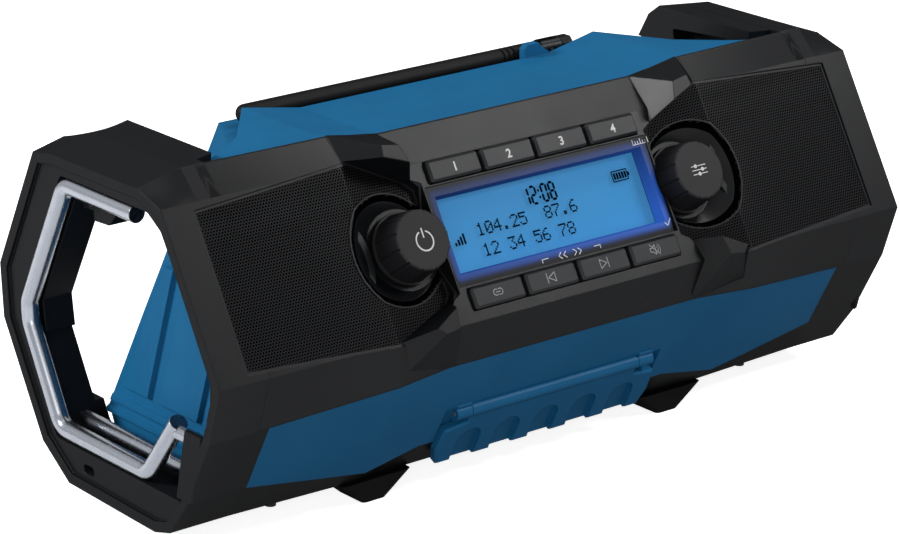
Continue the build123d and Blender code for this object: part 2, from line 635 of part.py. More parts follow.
with BuildPart() as front_bezel:
    add(bezel_block)
    # backing of the round dishes
    with BuildSketch(FRONT.offset(DISH_W - DISH_FLOOR_T)):
        with Locations(*KNOB_SPOTS):
            Circle(DISH_R + 1.5)
    extrude(amount=DISH_FLOOR_T - DISH_W - 3.0)
    # beds of the two grilles, each with a round dish about its knob
    add(grille_bed, mode=Mode.SUBTRACT)
    add(left_of(grille_bed), mode=Mode.SUBTRACT)
    add(dishes, mode=Mode.SUBTRACT)
    add(horns)
    # bed of the facia between the button rows
    with BuildSketch(FRONT.offset(PANEL_FLOOR)):
        with Locations((0, (PANEL_V0 + PANEL_V1) / 2)):
            Rectangle(2 * PANEL_HALF, PANEL_V1 - PANEL_V0)
        with Locations(*KNOB_SPOTS):
            Circle(EAR_R, mode=Mode.SUBTRACT)
    extrude(amount=20, mode=Mode.SUBTRACT)
    # window of the display
    with BuildSketch(FRONT.offset(-30)):
        with Locations((0, (LENS_V0 + LENS_V1) / 2)):
            Rectangle(2 * LENS_HALF + 2, LENS_V1 - LENS_V0 + 2)
    extrude(amount=40, mode=Mode.SUBTRACT)
    # slots of the two button rows, wider behind for the flanges
    with BuildSketch(FRONT.offset(-30)):
        with Locations((0, TOP_ROW_V), (0, LOW_ROW_V)):
            Rectangle(2 * ROW_HALF, BUTTON_HIGH + 2 * SLIP)
    extrude(amount=50, mode=Mode.SUBTRACT)
    with BuildSketch(FRONT.offset(-30)):
        with Locations((0, TOP_ROW_V), (0, LOW_ROW_V)):
            Rectangle(2 * ROW_HALF, BUTTON_HIGH + 2 * (FLANGE_OVER + SLIP))
    extrude(amount=30 + FLANGE_TOP, mode=Mode.SUBTRACT)
    # bores of the encoders
    with BuildSketch(FRONT.offset(-30)):
        with Locations(*KNOB_SPOTS):
            Rectangle(ENCODER_SIDE + 0.6, ENCODER_SIDE + 0.6)
    extrude(amount=30 + DISH_W - DISH_FLOOR_T + 0.2, mode=Mode.SUBTRACT)
    with BuildSketch(FRONT.offset(-30)):
        with Locations(*KNOB_SPOTS):
            Circle(BUSH_R + 0.2)
    extrude(amount=50, mode=Mode.SUBTRACT)
    # hollow behind the outer fields
    for side in (-1, 1):
        with BuildSketch(FRONT.offset(-40)):
            with Locations((side * (FACET_OUT + 9.0 + GRILLE_OUT_U + 3.5) / 2, KNOB_V)):
                Rectangle(GRILLE_OUT_U - FACET_OUT - 5.5, 2 * (SPEAKER_R + 1.6))
        extrude(amount=40 - 5.8, mode=Mode.SUBTRACT)
    # collar of each speaker and its sound opening
    with BuildSketch(FRONT.offset(SPEAKER_W)):
        with Locations(*SPEAKER_SPOTS):
            Circle(SPEAKER_R)
            Circle(SPEAKER_R - 3.0, mode=Mode.SUBTRACT)
    extrude(amount=-SPEAKER_W - 4.5)
    for side in (-1, 1):
        with BuildSketch(FRONT.offset(-40)):
            with Locations((side * SPEAKER_U, KNOB_V)):
                Circle(SPEAKER_R - 3.0)
            with Locations((side * KNOB_U, KNOB_V)):
                Circle(DISH_R + 1.5, mode=Mode.SUBTRACT)
        extrude(amount=50, mode=Mode.SUBTRACT)
        # the clear field outside the speaker
        with BuildSketch(FRONT.offset(-40)):
            with Locations((side * (GRILLE_OUT_U - 10.0), KNOB_V)):
                Rectangle(11, 40)
        extrude(amount=50, mode=Mode.SUBTRACT)
    # bosses that carry the control board
    with BuildSketch(FRONT.offset(BOARD_W)):
        with Locations(
            (-30, LENS_V1 + 3.0), (30, LENS_V1 + 3.0),
            (-LENS_HALF - 6.4, LENS_V0 - 11.1), (LENS_HALF + 6.4, LENS_V0 - 11.1),
            (-LENS_HALF - 6.4, LENS_V1 + 9.3), (LENS_HALF + 6.4, LENS_V1 + 9.3),
        ):
            Circle(1.7)
    extrude(amount=8)

# ------------------------------------------------------------------ pieces on the front face
with BuildPart() as grille:
    with BuildSketch(ACROSS.offset(-120)):
        with BuildLine():
            Polyline(
                (FRAME_HALF + 4, GRILLE_W - GRILLE_T), (GRILLE_IN_U + 4, GRILLE_W - GRILLE_T),
                (KNOB_U - 9.7, GRILLE_LOW_W - GRILLE_T), (KNOB_U - 35.7, GRILLE_LOW_W - GRILLE_T),
                (KNOB_U - 35.7, GRILLE_LOW_W), (KNOB_U - 9.7, GRILLE_LOW_W),
                (GRILLE_IN_U + 4, GRILLE_W), (FRAME_HALF + 4, GRILLE_W), close=True,
            )
        make_face()
    extrude(amount=180)
    add(grille_field(-20, 20, SEAT), mode=Mode.INTERSECT)
    add(dishes, mode=Mode.SUBTRACT)
    add(horns, mode=Mode.SUBTRACT)
    add(front_bezel, mode=Mode.SUBTRACT)

with BuildPart() as console_panel:
    with BuildSketch(FRONT.offset(PANEL_FLOOR)):
        with Locations((0, (PANEL_V0 + PANEL_V1) / 2)):
            Rectangle(2 * (PANEL_HALF - SEAT), PANEL_V1 - PANEL_V0 - 2 * SEAT)
        with Locations(*KNOB_SPOTS):
            Circle(EAR_R + SEAT, mode=Mode.SUBTRACT)
    extrude(amount=PANEL_T)
    # bevelled mouth over the display
    with BuildSketch(FRONT.offset(PANEL_FLOOR)):
        with Locations((0, (LENS_V0 + LENS_V1) / 2)):
            Rectangle(2 * LENS_HALF, LENS_V1 - LENS_V0)
    extrude(amount=10, taper=-25, mode=Mode.SUBTRACT)

with BuildPart() as lcd_window:
    add(face_plate(LENS_HALF + 0.8, LENS_V0 - 0.8, LENS_V1 + 0.8, LCD_TOP, LENS_TOP))
with BuildPart() as lcd_panel:
    add(face_plate(LENS_HALF + 0.5, LENS_V0 - 0.5, LENS_V1 + 0.5, LIGHT_TOP, LCD_TOP))
with BuildPart() as backlight:
    add(face_plate(LENS_HALF, LENS_V0, LENS_V1, BOARD_W, LIGHT_TOP))
with BuildPart() as control_board:
    with BuildSketch(FRONT.offset(BOARD_W - BOARD_T)):
        with Locations((0, (TOP_ROW_V + LOW_ROW_V) / 2)):
            RectangleRounded(2 * BOARD_HALF, TOP_ROW_V - LOW_ROW_V + 10.4, 2)
    extrude(amount=BOARD_T)
with BuildPart() as button_mat:
    with BuildSketch(FRONT.offset(BOARD_W)):
        with Locations((0, TOP_ROW_V), (0, LOW_ROW_V)):
            Rectangle(BUTTON_PITCH * BUTTON_COUNT - 7.2, BUTTON_HIGH - 2.4)
    extrude(amount=MAT_T)


def button(u, v, w_top):
    """One push button of a row, with its flange and its stem."""
    with BuildPart() as body:
        with BuildSketch(FRONT.offset(FLANGE_TOP - 0.1)):
            with Locations((u, v)):
                RectangleRounded(BUTTON_LONG, BUTTON_HIGH, 1.3)
        extrude(amount=w_top - FLANGE_TOP + 0.1)
        chamfer(body.faces().sort_by(Axis(FRONT.origin, FRONT.z_dir))[-1].edges(), 1.0)
        with BuildSketch(FRONT.offset(FLANGE_TOP - 0.1 - FLANGE_T)):
            with Locations((u, v)):
                Rectangle(BUTTON_LONG, BUTTON_HIGH + 2 * FLANGE_OVER)
        extrude(amount=FLANGE_T)
        with BuildSketch(FRONT.offset(STEM_END)):
            with Locations((u, v)):
                Rectangle(8, 4)
        extrude(amount=FLANGE_TOP - 0.1 - FLANGE_T - STEM_END)
    return body.part


buttons = {}
for i, u in enumerate(BUTTON_US):
    buttons[f"preset_button_{i + 1}"] = button(u, TOP_ROW_V, TOP_ROW_W)
    buttons[f"function_button_{i + 1}"] = button(u, LOW_ROW_V, LOW_ROW_W)

# ------------------------------------------------------------------ knobs and encoders
KNOB_LOW_W = DISH_W + 0.6 + KNOB_PUSH
KNOB_DEEP = KNOB_FACE_W - KNOB_LOW_W - 2.4
PLUNGER_W0 = BOARD_W + 2.0 + KNOB_PUSH
PLUNGER_W1 = PLUNGER_W0 + 1.2


def knob(u):
    """A faceted knob that widens towards its base, with a groove between two facets."""
    with BuildPart() as body:
        for w, radius in ((KNOB_LOW_W, KNOB_BASE_R), (KNOB_FACE_W, KNOB_TOP_R)):
            with BuildSketch(FRONT.offset(w)):
                with Locations((u, KNOB_V)):
                    RegularPolygon(radius, KNOB_FLUTES, rotation=KNOB_TURN)
        loft()
        chamfer(body.faces().sort_by(Axis(FRONT.origin, FRONT.z_dir))[-1].edges(), 0.5)
        # grooves, which stop short of the flange at the base
        for k in range(KNOB_FLUTES):
            turn = radians(KNOB_TURN + k * 360 / KNOB_FLUTES)
            for w, radius in ((KNOB_LOW_W + 1.2, KNOB_BASE_R), (KNOB_FACE_W + 0.2, KNOB_TOP_R - 0.1)):
                with BuildSketch(FRONT.offset(w)):
                    with Locations((u + radius * cos(turn), KNOB_V + radius * sin(turn))):
                        RegularPolygon(FLUTE_WIDE, 4, rotation=degrees(turn))
            loft(mode=Mode.SUBTRACT)
        with BuildSketch(FRONT.offset(KNOB_LOW_W)):
            with Locations((u, KNOB_V)):
                Circle(KNOB_BASE_R + 0.4)
        extrude(amount=1.2)
        with BuildSketch(FRONT.offset(KNOB_LOW_W)):
            with Locations((u, KNOB_V)):
                Circle(KNOB_BASE_R - 3.4)
                Circle(SHAFT_R + 2.4, mode=Mode.SUBTRACT)
        extrude(amount=KNOB_DEEP, mode=Mode.SUBTRACT)
        with BuildSketch(FRONT.offset(KNOB_LOW_W)):
            with Locations((u, KNOB_V)):
                Circle(SHAFT_R)
        extrude(amount=KNOB_DEEP, mode=Mode.SUBTRACT)
    return body.part


def disc(u, radius, w0, w1, v=KNOB_V):
    """A round disc or pin on the front face."""
    with BuildPart() as body:
        with BuildSketch(FRONT.offset(w0)):
            with Locations((u, v)):
                Circle(radius)
        extrude(amount=w1 - w0)
    return body.part


def encoder(u):
    """Encoder body on the board, with a threaded bush and the well of its plunger."""
    with BuildPart() as body:
        with BuildSketch(FRONT.offset(BOARD_W)):
            with Locations((u, KNOB_V)):
                RectangleRounded(ENCODER_SIDE, ENCODER_SIDE, 0.8)
        extrude(amount=DISH_W - DISH_FLOOR_T - BOARD_W)
        add(disc(u, BUSH_R, BOARD_W + 2, KNOB_LOW_W - 0.6))
        with BuildSketch(FRONT.offset(BOARD_W + 2.0)):
            with Locations((u, KNOB_V)):
                Circle(SHAFT_R + RUN)
        extrude(amount=30, mode=Mode.SUBTRACT)
    return body.part


# ------------------------------------------------------------------ speakers
def revolved(u, outline):
    """A body of revolution about a speaker's axis, from radii and heights over the face."""
    axis_plane = Plane(
        origin=FRONT.from_local_coords((u, KNOB_V, 0)), x_dir=(1, 0, 0), z_dir=(0, -LEAN_S, -LEAN_C)
    )
    with BuildPart() as body:
        with BuildSketch(axis_plane):
            with BuildLine():
                Polyline(*outline, close=True)
            make_face()
        revolve(axis=Axis(axis_plane.origin, FRONT.z_dir))
    return body.part


BASKET_END = SPEAKER_W - BASKET_DEEP
speaker_basket = revolved(SPEAKER_U, [
    (SPEAKER_R, SPEAKER_W), (SPEAKER_R, SPEAKER_W - 2), (CONE_R + 1.6, SPEAKER_W - 2),
    (MAGNET_R, BASKET_END), (4, BASKET_END), (4, BASKET_END + 1.6),
    (MAGNET_R - 0.8, BASKET_END + 1.6), (CONE_R, SPEAKER_W - 2), (CONE_R, SPEAKER_W),
])
speaker_cone = revolved(SPEAKER_U, [
    (CONE_R, SPEAKER_W), (CONE_R, SPEAKER_W - 1.4), (CONE_R - 4, SPEAKER_W - 1.4),
    (9, BASKET_END + 3.6), (0, BASKET_END + 3.6), (0, BASKET_END + 5.6), (4, BASKET_END + 5.2),
    (8, BASKET_END + 4.6), (CONE_R - 4, SPEAKER_W - 0.2), (CONE_R - 2.4, SPEAKER_W + 0.8),
    (CONE_R - 1, SPEAKER_W),
])
speaker_magnet = revolved(SPEAKER_U, [
    (MAGNET_R, BASKET_END), (MAGNET_R, BASKET_END - MAGNET_T), (0, BASKET_END - MAGNET_T),
    (0, BASKET_END + 3.6), (4, BASKET_END + 3.6), (4, BASKET_END),
])

# ------------------------------------------------------------------ port door and ports
HINGE_SPOT = BAND.from_local_coords((0, -HINGE_DOWN - HINGE_R, -0.2))
HINGE_PLANE = Plane(origin=HINGE_SPOT, x_dir=(0, 1, 0), z_dir=(1, 0, 0))


def hinge_round(radius, x0, x1):
    """A round piece about the hinge line of the port door."""
    with BuildPart() as body:
        with BuildSketch(HINGE_PLANE.offset(x0)):
            Circle(radius)
        extrude(amount=x1 - x0)
    return body.part


EAR_IN = DOOR_TAB_HALF + SLIP
EAR_MID = EAR_IN + EAR_LONG / 2
BORE_HALF = EAR_IN + EAR_LONG + 5.4
with BuildPart() as hinge_ears:
    add(hinge_round(HINGE_R, EAR_IN, EAR_IN + EAR_LONG))
    add(hinge_round(HINGE_R, -EAR_IN - EAR_LONG, -EAR_IN))
    with BuildSketch(BAND.offset(-3.2)):
        with Locations((-EAR_MID, -HINGE_DOWN - HINGE_R + 2), (EAR_MID, -HINGE_DOWN - HINGE_R + 2)):
            Rectangle(EAR_LONG, 5.6)
    extrude(amount=4)
    with BuildSketch(HINGE_PLANE.offset(-BORE_HALF)):
        Circle(HINGE_PIN_R)
    extrude(amount=2 * BORE_HALF, mode=Mode.SUBTRACT)

with BuildPart() as door_hinge_pin:
    add(hinge_round(HINGE_PIN_R, -EAR_IN - EAR_LONG, EAR_IN + EAR_LONG))

with BuildPart() as port_door:
    # plate below the hinge line, with corners cut beside the fixed ears
    with BuildSketch(BAND.offset(-1.4)):
        with BuildLine():
            Polyline(
                (-DOOR_TAB_HALF, -HINGE_DOWN - HINGE_R), (-DOOR_TAB_HALF, -HINGE_DOWN - 8.2),
                (-DOOR_HALF, -HINGE_DOWN - 10.2), (-DOOR_HALF - 1, 9.0 - DOOR_DOWN),
                (-DOOR_HALF + 2, -DOOR_DOWN), (DOOR_HALF - 2, -DOOR_DOWN),
                (DOOR_HALF + 1, 9.0 - DOOR_DOWN), (DOOR_HALF, -HINGE_DOWN - 10.2),
                (DOOR_TAB_HALF, -HINGE_DOWN - 8.2), (DOOR_TAB_HALF, -HINGE_DOWN - HINGE_R),
                close=True,
            )
        make_face()
    extrude(amount=DOOR_T)
    chamfer(port_door.faces().sort_by(Axis(BAND.origin, BAND.z_dir))[-1].edges(), 0.9)
    # five arched finger hollows, open at the lower edge
    with BuildSketch(BAND.offset(-1.4 + DOOR_T - 2.2)):
        with GridLocations(SCALLOP_PITCH, 1, SCALLOPS, 1):
            with Locations((0, 6.5 - DOOR_DOWN)):
                SlotOverall(22, SCALLOP_WIDE, rotation=90)
    extrude(amount=5, mode=Mode.SUBTRACT)
    add(hinge_round(HINGE_R, -DOOR_TAB_HALF, DOOR_TAB_HALF))
    with BuildSketch(HINGE_PLANE.offset(-BORE_HALF)):
        Circle(HINGE_PIN_R + RUN)
    extrude(amount=2 * BORE_HALF, mode=Mode.SUBTRACT)

with BuildPart() as port_panel:
    with BuildSketch(BAND.offset(-BAY_DEEP + 8)):
        with Locations((0, -PORT_DOWN)):
            Rectangle(2 * PORT_HALF - 2 * SEAT, PORT_HIGH - 2 * SEAT)
    extrude(amount=-2.0)
    with BuildSketch(BAND.offset(-BAY_DEEP + 8)):
        with Locations((-13, -PORT_DOWN)):
            RectangleRounded(14, 6.2, 0.8)
        with Locations((14, -PORT_DOWN)):
            Circle(3.4)
    extrude(amount=-2.0, mode=Mode.SUBTRACT)
with BuildPart() as usb_socket:
    with BuildSketch(BAND.offset(-BAY_DEEP - 4)):
        with Locations((-13, -PORT_DOWN)):
            RectangleRounded(14, 6.2, 0.8)
    extrude(amount=12.4)
    with BuildSketch(BAND.offset(-BAY_DEEP - 2)):
        with Locations((-13, -PORT_DOWN)):
            RectangleRounded(12.8, 5.0, 0.4)
            with Locations((0, 0.9)):
                Rectangle(10.6, 1.6, mode=Mode.SUBTRACT)
    extrude(amount=12, mode=Mode.SUBTRACT)
with BuildPart() as aux_socket:
    with BuildSketch(BAND.offset(-BAY_DEEP - 4)):
        with Locations((14, -PORT_DOWN)):
            Circle(3.4)
    extrude(amount=12.4)
    with BuildSketch(BAND.offset(-BAY_DEEP - 2)):
        with Locations((14, -PORT_DOWN)):
            Circle(1.8)
    extrude(amount=12, mode=Mode.SUBTRACT)

# ------------------------------------------------------------------ antenna
AXIS_SPOT = (MAST_Y, MAST_Z)


def along(radius, x0, x1):
    """A round piece about the line of the lying antenna."""
    with BuildPart() as body:
        with BuildSketch(Plane.YZ.offset(x0)):
            with Locations(AXIS_SPOT):
                Circle(radius)
        extrude(amount=x1 - x0)
    return body.part


with BuildPart() as antenna_socket:
    with BuildSketch(Plane.YZ.offset(KNUCKLE_END + 0.4)):
        with BuildLine():
            Polyline((29.6, SHELF_Z), (38.6, SHELF_Z), (38.6, 155.6), (36.0, 158.2),
                     (31.5, 158.2), (29.6, 156.0), close=True)
        make_face()
    extrude(amount=BRACKET_END - KNUCKLE_END - 0.4)
    with BuildSketch(Plane.YZ.offset(KNUCKLE_END)):
        with Locations(AXIS_SPOT):
            Circle(SWIVEL_R + RUN)
    extrude(amount=20, mode=Mode.SUBTRACT)
    add(housing_block, mode=Mode.SUBTRACT)

with BuildPart() as antenna_knuckle:
    add(along(MAST_R + 0.4, FOLD_X - 7.0, KNUCKLE_END))
    add(along(SWIVEL_R, KNUCKLE_END, BRACKET_END))
    # ears rounded about the fold pin
    with BuildSketch(Plane.XZ.offset(-MAST_Y)):
        with Locations((FOLD_X - 5.5, MAST_Z + 3.5)):
            Rectangle(11, 11)
        with Locations((FOLD_X, MAST_Z)):
            Circle(6.6, mode=Mode.SUBTRACT)
    extrude(amount=10, both=True, mode=Mode.SUBTRACT)
    # slot for the tongue of the mast
    with Locations((FOLD_X - 2.0, MAST_Y, MAST_Z + 4)):
        Box(12.4, TONGUE_T + 2 * SLIP, 20, mode=Mode.SUBTRACT)
    with BuildSketch(Plane.XZ.offset(-MAST_Y)):
        with Locations((FOLD_X, MAST_Z)):
            Circle(FOLD_PIN_R)
    extrude(amount=10, both=True, mode=Mode.SUBTRACT)

with BuildPart() as fold_pin:
    with BuildSketch(Plane.XZ.offset(-MAST_Y - MAST_R + 0.4)):
        with Locations((FOLD_X, MAST_Z)):
            Circle(FOLD_PIN_R)
    extrude(amount=2 * MAST_R - 0.8)

with BuildPart() as antenna_mast:
    add(along(MAST_R, MAST_TIP, FOLD_X - 7.6))
    fillet(antenna_mast.faces().sort_by(Axis.X)[0].edges(), 3.6)
    # grip rings near the knuckle
    for x in (FOLD_X - 28.5, FOLD_X - 25.5, FOLD_X - 22.5):
        with BuildSketch(Plane.YZ.offset(x)):
            with Locations(AXIS_SPOT):
                Circle(MAST_R + 1)
                Circle(MAST_R - 0.6, mode=Mode.SUBTRACT)
        extrude(amount=1.2, mode=Mode.SUBTRACT)
    with BuildSketch(Plane.XZ.offset(-MAST_Y)):
        with BuildLine():
            Polyline((FOLD_X - 9, MAST_Z - 2.6), (FOLD_X, MAST_Z - 2.6), (FOLD_X, MAST_Z + 2.6),
                     (FOLD_X - 9, MAST_Z + 2.6), close=True)
        make_face()
        with Locations((FOLD_X, MAST_Z)):
            Circle(2.6)
    extrude(amount=TONGUE_T / 2, both=True)
    with BuildSketch(Plane.XZ.offset(-MAST_Y)):
        with Locations((FOLD_X, MAST_Z)):
            Circle(FOLD_PIN_R + RUN)
    extrude(amount=10, both=True, mode=Mode.SUBTRACT)

# ------------------------------------------------------------------ battery
PACK_MID_Z = (PACK_LOW + PACK_HIGH) / 2
PACK_TALL = PACK_HIGH - PACK_LOW
with BuildPart() as behind:
    with BuildSketch(Plane.YZ.offset(-80)):
        with BuildLine():
            Polyline((200, 200), (30, 200), (62, 122.0), BACK_HIGH, BACK_LOW, BACK_FOOT, (41, 0),
                     (200, 0), close=True)
        make_face()
    extrude(amount=160)

with BuildPart() as battery_bay:
    with Locations((0, (PACK_FRONT - PACK_GAP - BAY_WALL + 90) / 2, PACK_MID_Z)):
        Box(2 * (PACK_HALF + PACK_GAP + BAY_WALL), 90 - PACK_FRONT + PACK_GAP + BAY_WALL,
            PACK_TALL + 2 * (PACK_GAP + BAY_WALL))
    with Locations((0, (PACK_FRONT - PACK_GAP + 91) / 2, PACK_MID_Z)):
        Box(2 * (PACK_HALF + PACK_GAP), 91 - PACK_FRONT + PACK_GAP, PACK_TALL + 2 * PACK_GAP,
            mode=Mode.SUBTRACT)
    # guide rails
    for side in (-1, 1):
        with Locations((side * (PACK_HALF + PACK_GAP - RAIL / 2), 50 + PACK_FRONT, PACK_MID_Z + 12)):
            Box(RAIL, 100, RAIL)
    add(behind, mode=Mode.SUBTRACT)

with BuildPart() as battery_pack:
    with Locations((0, (PACK_FRONT + 90) / 2, PACK_MID_Z)):
        Box(2 * PACK_HALF, 90 - PACK_FRONT, PACK_TALL)
    chamfer(battery_pack.edges().filter_by(Axis.Y), 3.0)
    for side in (-1, 1):
        with Locations((side * PACK_HALF, 50, PACK_MID_Z + 12)):
            Box(2 * (RAIL - PACK_GAP) + 2 * PACK_GAP, 110, RAIL + 2 * PACK_GAP, mode=Mode.SUBTRACT)
    # slots for the contact blades
    for x in (-18, 0, 18):
        with Locations((x, PACK_FRONT, PACK_MID_Z + 20)):
            Box(2.4, 16, 12, mode=Mode.SUBTRACT)
    add(behind, mode=Mode.SUBTRACT)
    # well of the release button
    with Locations((0, 75, PACK_HIGH - 12)):
        Box(24, 16, 11, mode=Mode.SUBTRACT)

with BuildPart() as battery_latch:
    with Locations((0, 75, PACK_HIGH - 12)):
        Box(24 - 2 * SLIP, 16 - 2 * LATCH_TRAVEL - 0.8, 11 - 2 * SLIP)
    with Locations((0, 75 - 6, PACK_HIGH - 12)):
        Box(6, 1, 1, mode=Mode.SUBTRACT)
    add(behind, mode=Mode.SUBTRACT)

with BuildPart() as battery_contacts:
    for x in (-18, 0, 18):
        with Locations((x, PACK_FRONT - PACK_GAP + 3, PACK_MID_Z + 20)):
            Box(1.2, 6, 9)

# ------------------------------------------------------------------ screws
with BuildPart() as housing_screws:
    for y in (-36.0, 28.0):
        for x in (25.0 - HOUSING_HALF, -46.0, 46.0, HOUSING_HALF - 25.0):
            with BuildSketch(Plane.XY.offset(TRAY_Z - 0.6)):
                with Locations((x, y)):
                    Circle(2.4)
            extrude(amount=2.4)

# ------------------------------------------------------------------ last cuts between neighbours
with BuildPart() as front_shell:
    add(front_housing)
    # tunnel of the ports
    with BuildSketch(BAND.offset(-BAY_DEEP + 6)):
        with Locations((0, -PORT_DOWN)):
            Rectangle(2 * PORT_HALF + 4.0, PORT_HIGH + 4.0)
            Rectangle(2 * PORT_HALF, PORT_HIGH, mode=Mode.SUBTRACT)
    extrude(amount=BAY_DEEP - 6 - 2)
    add(hinge_round(HINGE_R + 0.4, -DOOR_TAB_HALF - 0.1, DOOR_TAB_HALF + 0.1), mode=Mode.SUBTRACT)
    add(hinge_ears)
    with BuildSketch(HINGE_PLANE.offset(-BORE_HALF)):
        Circle(HINGE_PIN_R)
    extrude(amount=2 * BORE_HALF, mode=Mode.SUBTRACT)
    add(port_panel, mode=Mode.SUBTRACT)
    add(control_board, mode=Mode.SUBTRACT)

with BuildPart() as tray:
    add(bottom_tray)
    add(housing_screws, mode=Mode.SUBTRACT)

knobs = {"volume": -KNOB_U, "tune": KNOB_U}
nodes = {
    "front_housing": front_shell.part,
    "rear_housing": rear_housing.part,
    "bottom_tray": tray.part,
    "rubber_feet": feet.part,
    "right_end_frame": end_frame.part,
    "left_end_frame": left_of(end_frame.part),
    "right_outer_bar": outer_bar.part,
    "left_outer_bar": left_of(outer_bar.part),
    "right_inner_bar": inner_bar.part,
    "left_inner_bar": left_of(inner_bar.part),
    "right_bar_pin": bar_pin.part,
    "left_bar_pin": left_of(bar_pin.part),
    "front_bezel": front_bezel.part,
    "console_panel": console_panel.part,
    "right_grille": grille.part,
    "left_grille": left_of(grille.part),
    "lcd_window": lcd_window.part,
    "lcd_panel": lcd_panel.part,
    "backlight": backlight.part,
    "control_board": control_board.part,
    "button_mat": button_mat.part,
    "right_speaker_basket": speaker_basket,
    "right_speaker_cone": speaker_cone,
    "right_speaker_magnet": speaker_magnet,
    "left_speaker_basket": left_of(speaker_basket),
    "left_speaker_cone": left_of(speaker_cone),
    "left_speaker_magnet": left_of(speaker_magnet),
    "port_panel": port_panel.part,
    "usb_socket": usb_socket.part,
    "aux_socket": aux_socket.part,
    "door_hinge_pin": door_hinge_pin.part,
    "port_door": port_door.part,
    "antenna_socket": antenna_socket.part,
    "antenna_knuckle": antenna_knuckle.part,
    "antenna_fold_pin": fold_pin.part,
    "antenna_mast": antenna_mast.part,
    "battery_bay": battery_bay.part,
    "battery_contacts": battery_contacts.part,
    "battery_pack": battery_pack.part,
    "battery_latch": battery_latch.part,
    "housing_screws": housing_screws.part,
}
for side, u in knobs.items():
    nodes[f"{side}_knob"] = knob(u)
    nodes[f"{side}_shaft"] = disc(u, SHAFT_R, PLUNGER_W1 + RUN, KNOB_LOW_W + KNOB_DEEP)
    nodes[f"{side}_plunger"] = disc(u, SHAFT_R - 0.6, PLUNGER_W0, PLUNGER_W1)
    nodes[f"{side}_encoder"] = encoder(u)
nodes.update(buttons)

# The origin goes under the middle of the radio: halfway from the low bumpers to the end frames' backs
FRONT_REACH = min(face_point(v, HORN_TOP_W)[0] for _, v in LOW_HORN_TOP)
BACK_REACH = FRAME_BACK[-1][0]
to_middle = Location((0, -(FRONT_REACH + BACK_REACH) / 2, 0))
nodes = {name: piece.moved(to_middle) for name, piece in nodes.items()}

os.makedirs("parts", exist_ok=True)
for name, piece in nodes.items():
    piece.label = name
    export_step(piece, f"parts/{name}.step")
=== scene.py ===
import json
import logging
import math
from collections.abc import Callable, Sequence
from dataclasses import dataclass
from enum import Enum

import bmesh
import bpy
from bpy.types import Curve, Material, Mesh, Node, NodeTree, Object, World
from mathutils import Matrix, Vector


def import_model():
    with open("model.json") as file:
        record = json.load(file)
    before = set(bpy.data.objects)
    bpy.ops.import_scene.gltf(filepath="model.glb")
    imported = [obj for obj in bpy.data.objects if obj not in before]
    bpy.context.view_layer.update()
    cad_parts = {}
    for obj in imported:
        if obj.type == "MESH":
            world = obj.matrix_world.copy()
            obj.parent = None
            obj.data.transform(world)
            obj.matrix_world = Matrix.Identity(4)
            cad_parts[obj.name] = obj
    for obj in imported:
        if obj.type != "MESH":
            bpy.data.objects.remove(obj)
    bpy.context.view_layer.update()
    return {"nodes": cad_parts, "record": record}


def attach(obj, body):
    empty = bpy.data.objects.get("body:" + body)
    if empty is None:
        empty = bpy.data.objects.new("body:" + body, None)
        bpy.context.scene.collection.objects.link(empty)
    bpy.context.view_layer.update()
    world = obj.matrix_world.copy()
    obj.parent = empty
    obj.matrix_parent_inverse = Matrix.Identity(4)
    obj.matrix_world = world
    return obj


LOG = logging.getLogger("radio")
MM = 0.001

# The front leans back from a crease. On it u runs along the radio, v up the front and w out of it.
# These are the solids' own sizes, in millimetres.
LEAN = math.radians(30.0)
CREASE = Vector((0.0, -75.25, 84.4))
ALONG, OUT = Vector((1, 0, 0)), Vector((0, -math.cos(LEAN), math.sin(LEAN)))
UP = OUT.cross(ALONG)
KNOB_U, KNOB_V, KNOB_FACE_W = 75.7, 37.7, 7.7
DISH_R, DISH_W, DISH_FLARE = 18.1, -8.4, 1.618
CONSOLE_W = -1.9
BUTTON_US = (-43.2, -14.4, 14.4, 43.2)
TOP_ROW_V, LOW_ROW_V = 65.2, 9.6
TOP_ROW_W, LOW_ROW_W = 0.6, 2.0
LENS = (-55.6, 21.6, 55.6, 54.2)
LENS_W = -7.2

# The Mix node's two inputs and its output, by number, because their names repeat
MIX_VECTORS, MIX_COLOURS = (4, 5, 1), (6, 7, 2)

Point2 = tuple[float, float]
Span = tuple[float, float]
Triple = tuple[float, float, float]
Poly = Sequence[Point2]
Socket = bpy.types.NodeSocket
Pieces = list[Object]


def linear(code: str) -> tuple[float, float, float, float]:
    """Turns an sRGB hex colour into linear RGBA.

    Args:
        code: Six hex digits.

    Returns:
        The colour as Blender's sockets take it.
    """
    parts = [int(code[i : i + 2], 16) / 255 for i in (0, 2, 4)]
    low = [c / 12.92 if c <= 0.04045 else ((c + 0.055) / 1.055) ** 2.4 for c in parts]
    return (low[0], low[1], low[2], 1.0)


def front(u: float, v: float, w: float) -> Vector:
    """Gives a point of the leaning front in the radio's frame, in metres."""
    return (CREASE + ALONG * u + UP * v + OUT * w) * MM


# ---- node trees
class Writer:
    """Writes the nodes of one tree."""

    def __init__(self, tree: NodeTree) -> None:
        """Starts on a tree."""
        self.tree = tree

    def add(self, kind: str, values: dict | None = None, **settings: object) -> Node:
        """Adds one node.

        Args:
            kind: Blender's name of the node type.
            values: Input socket to value, to another node's output socket or to several of them.
            **settings: The node's own properties.

        Returns:
            The new node.
        """
        node = self.tree.nodes.new(kind)
        for key, value in settings.items():
            setattr(node, key, value)
        for key, value in (values or {}).items():
            for source in value if isinstance(value, list) else [value]:
                if isinstance(source, Socket):
                    self.tree.links.new(source, node.inputs[key])
                else:
                    node.inputs[key].default_value = source
        return node


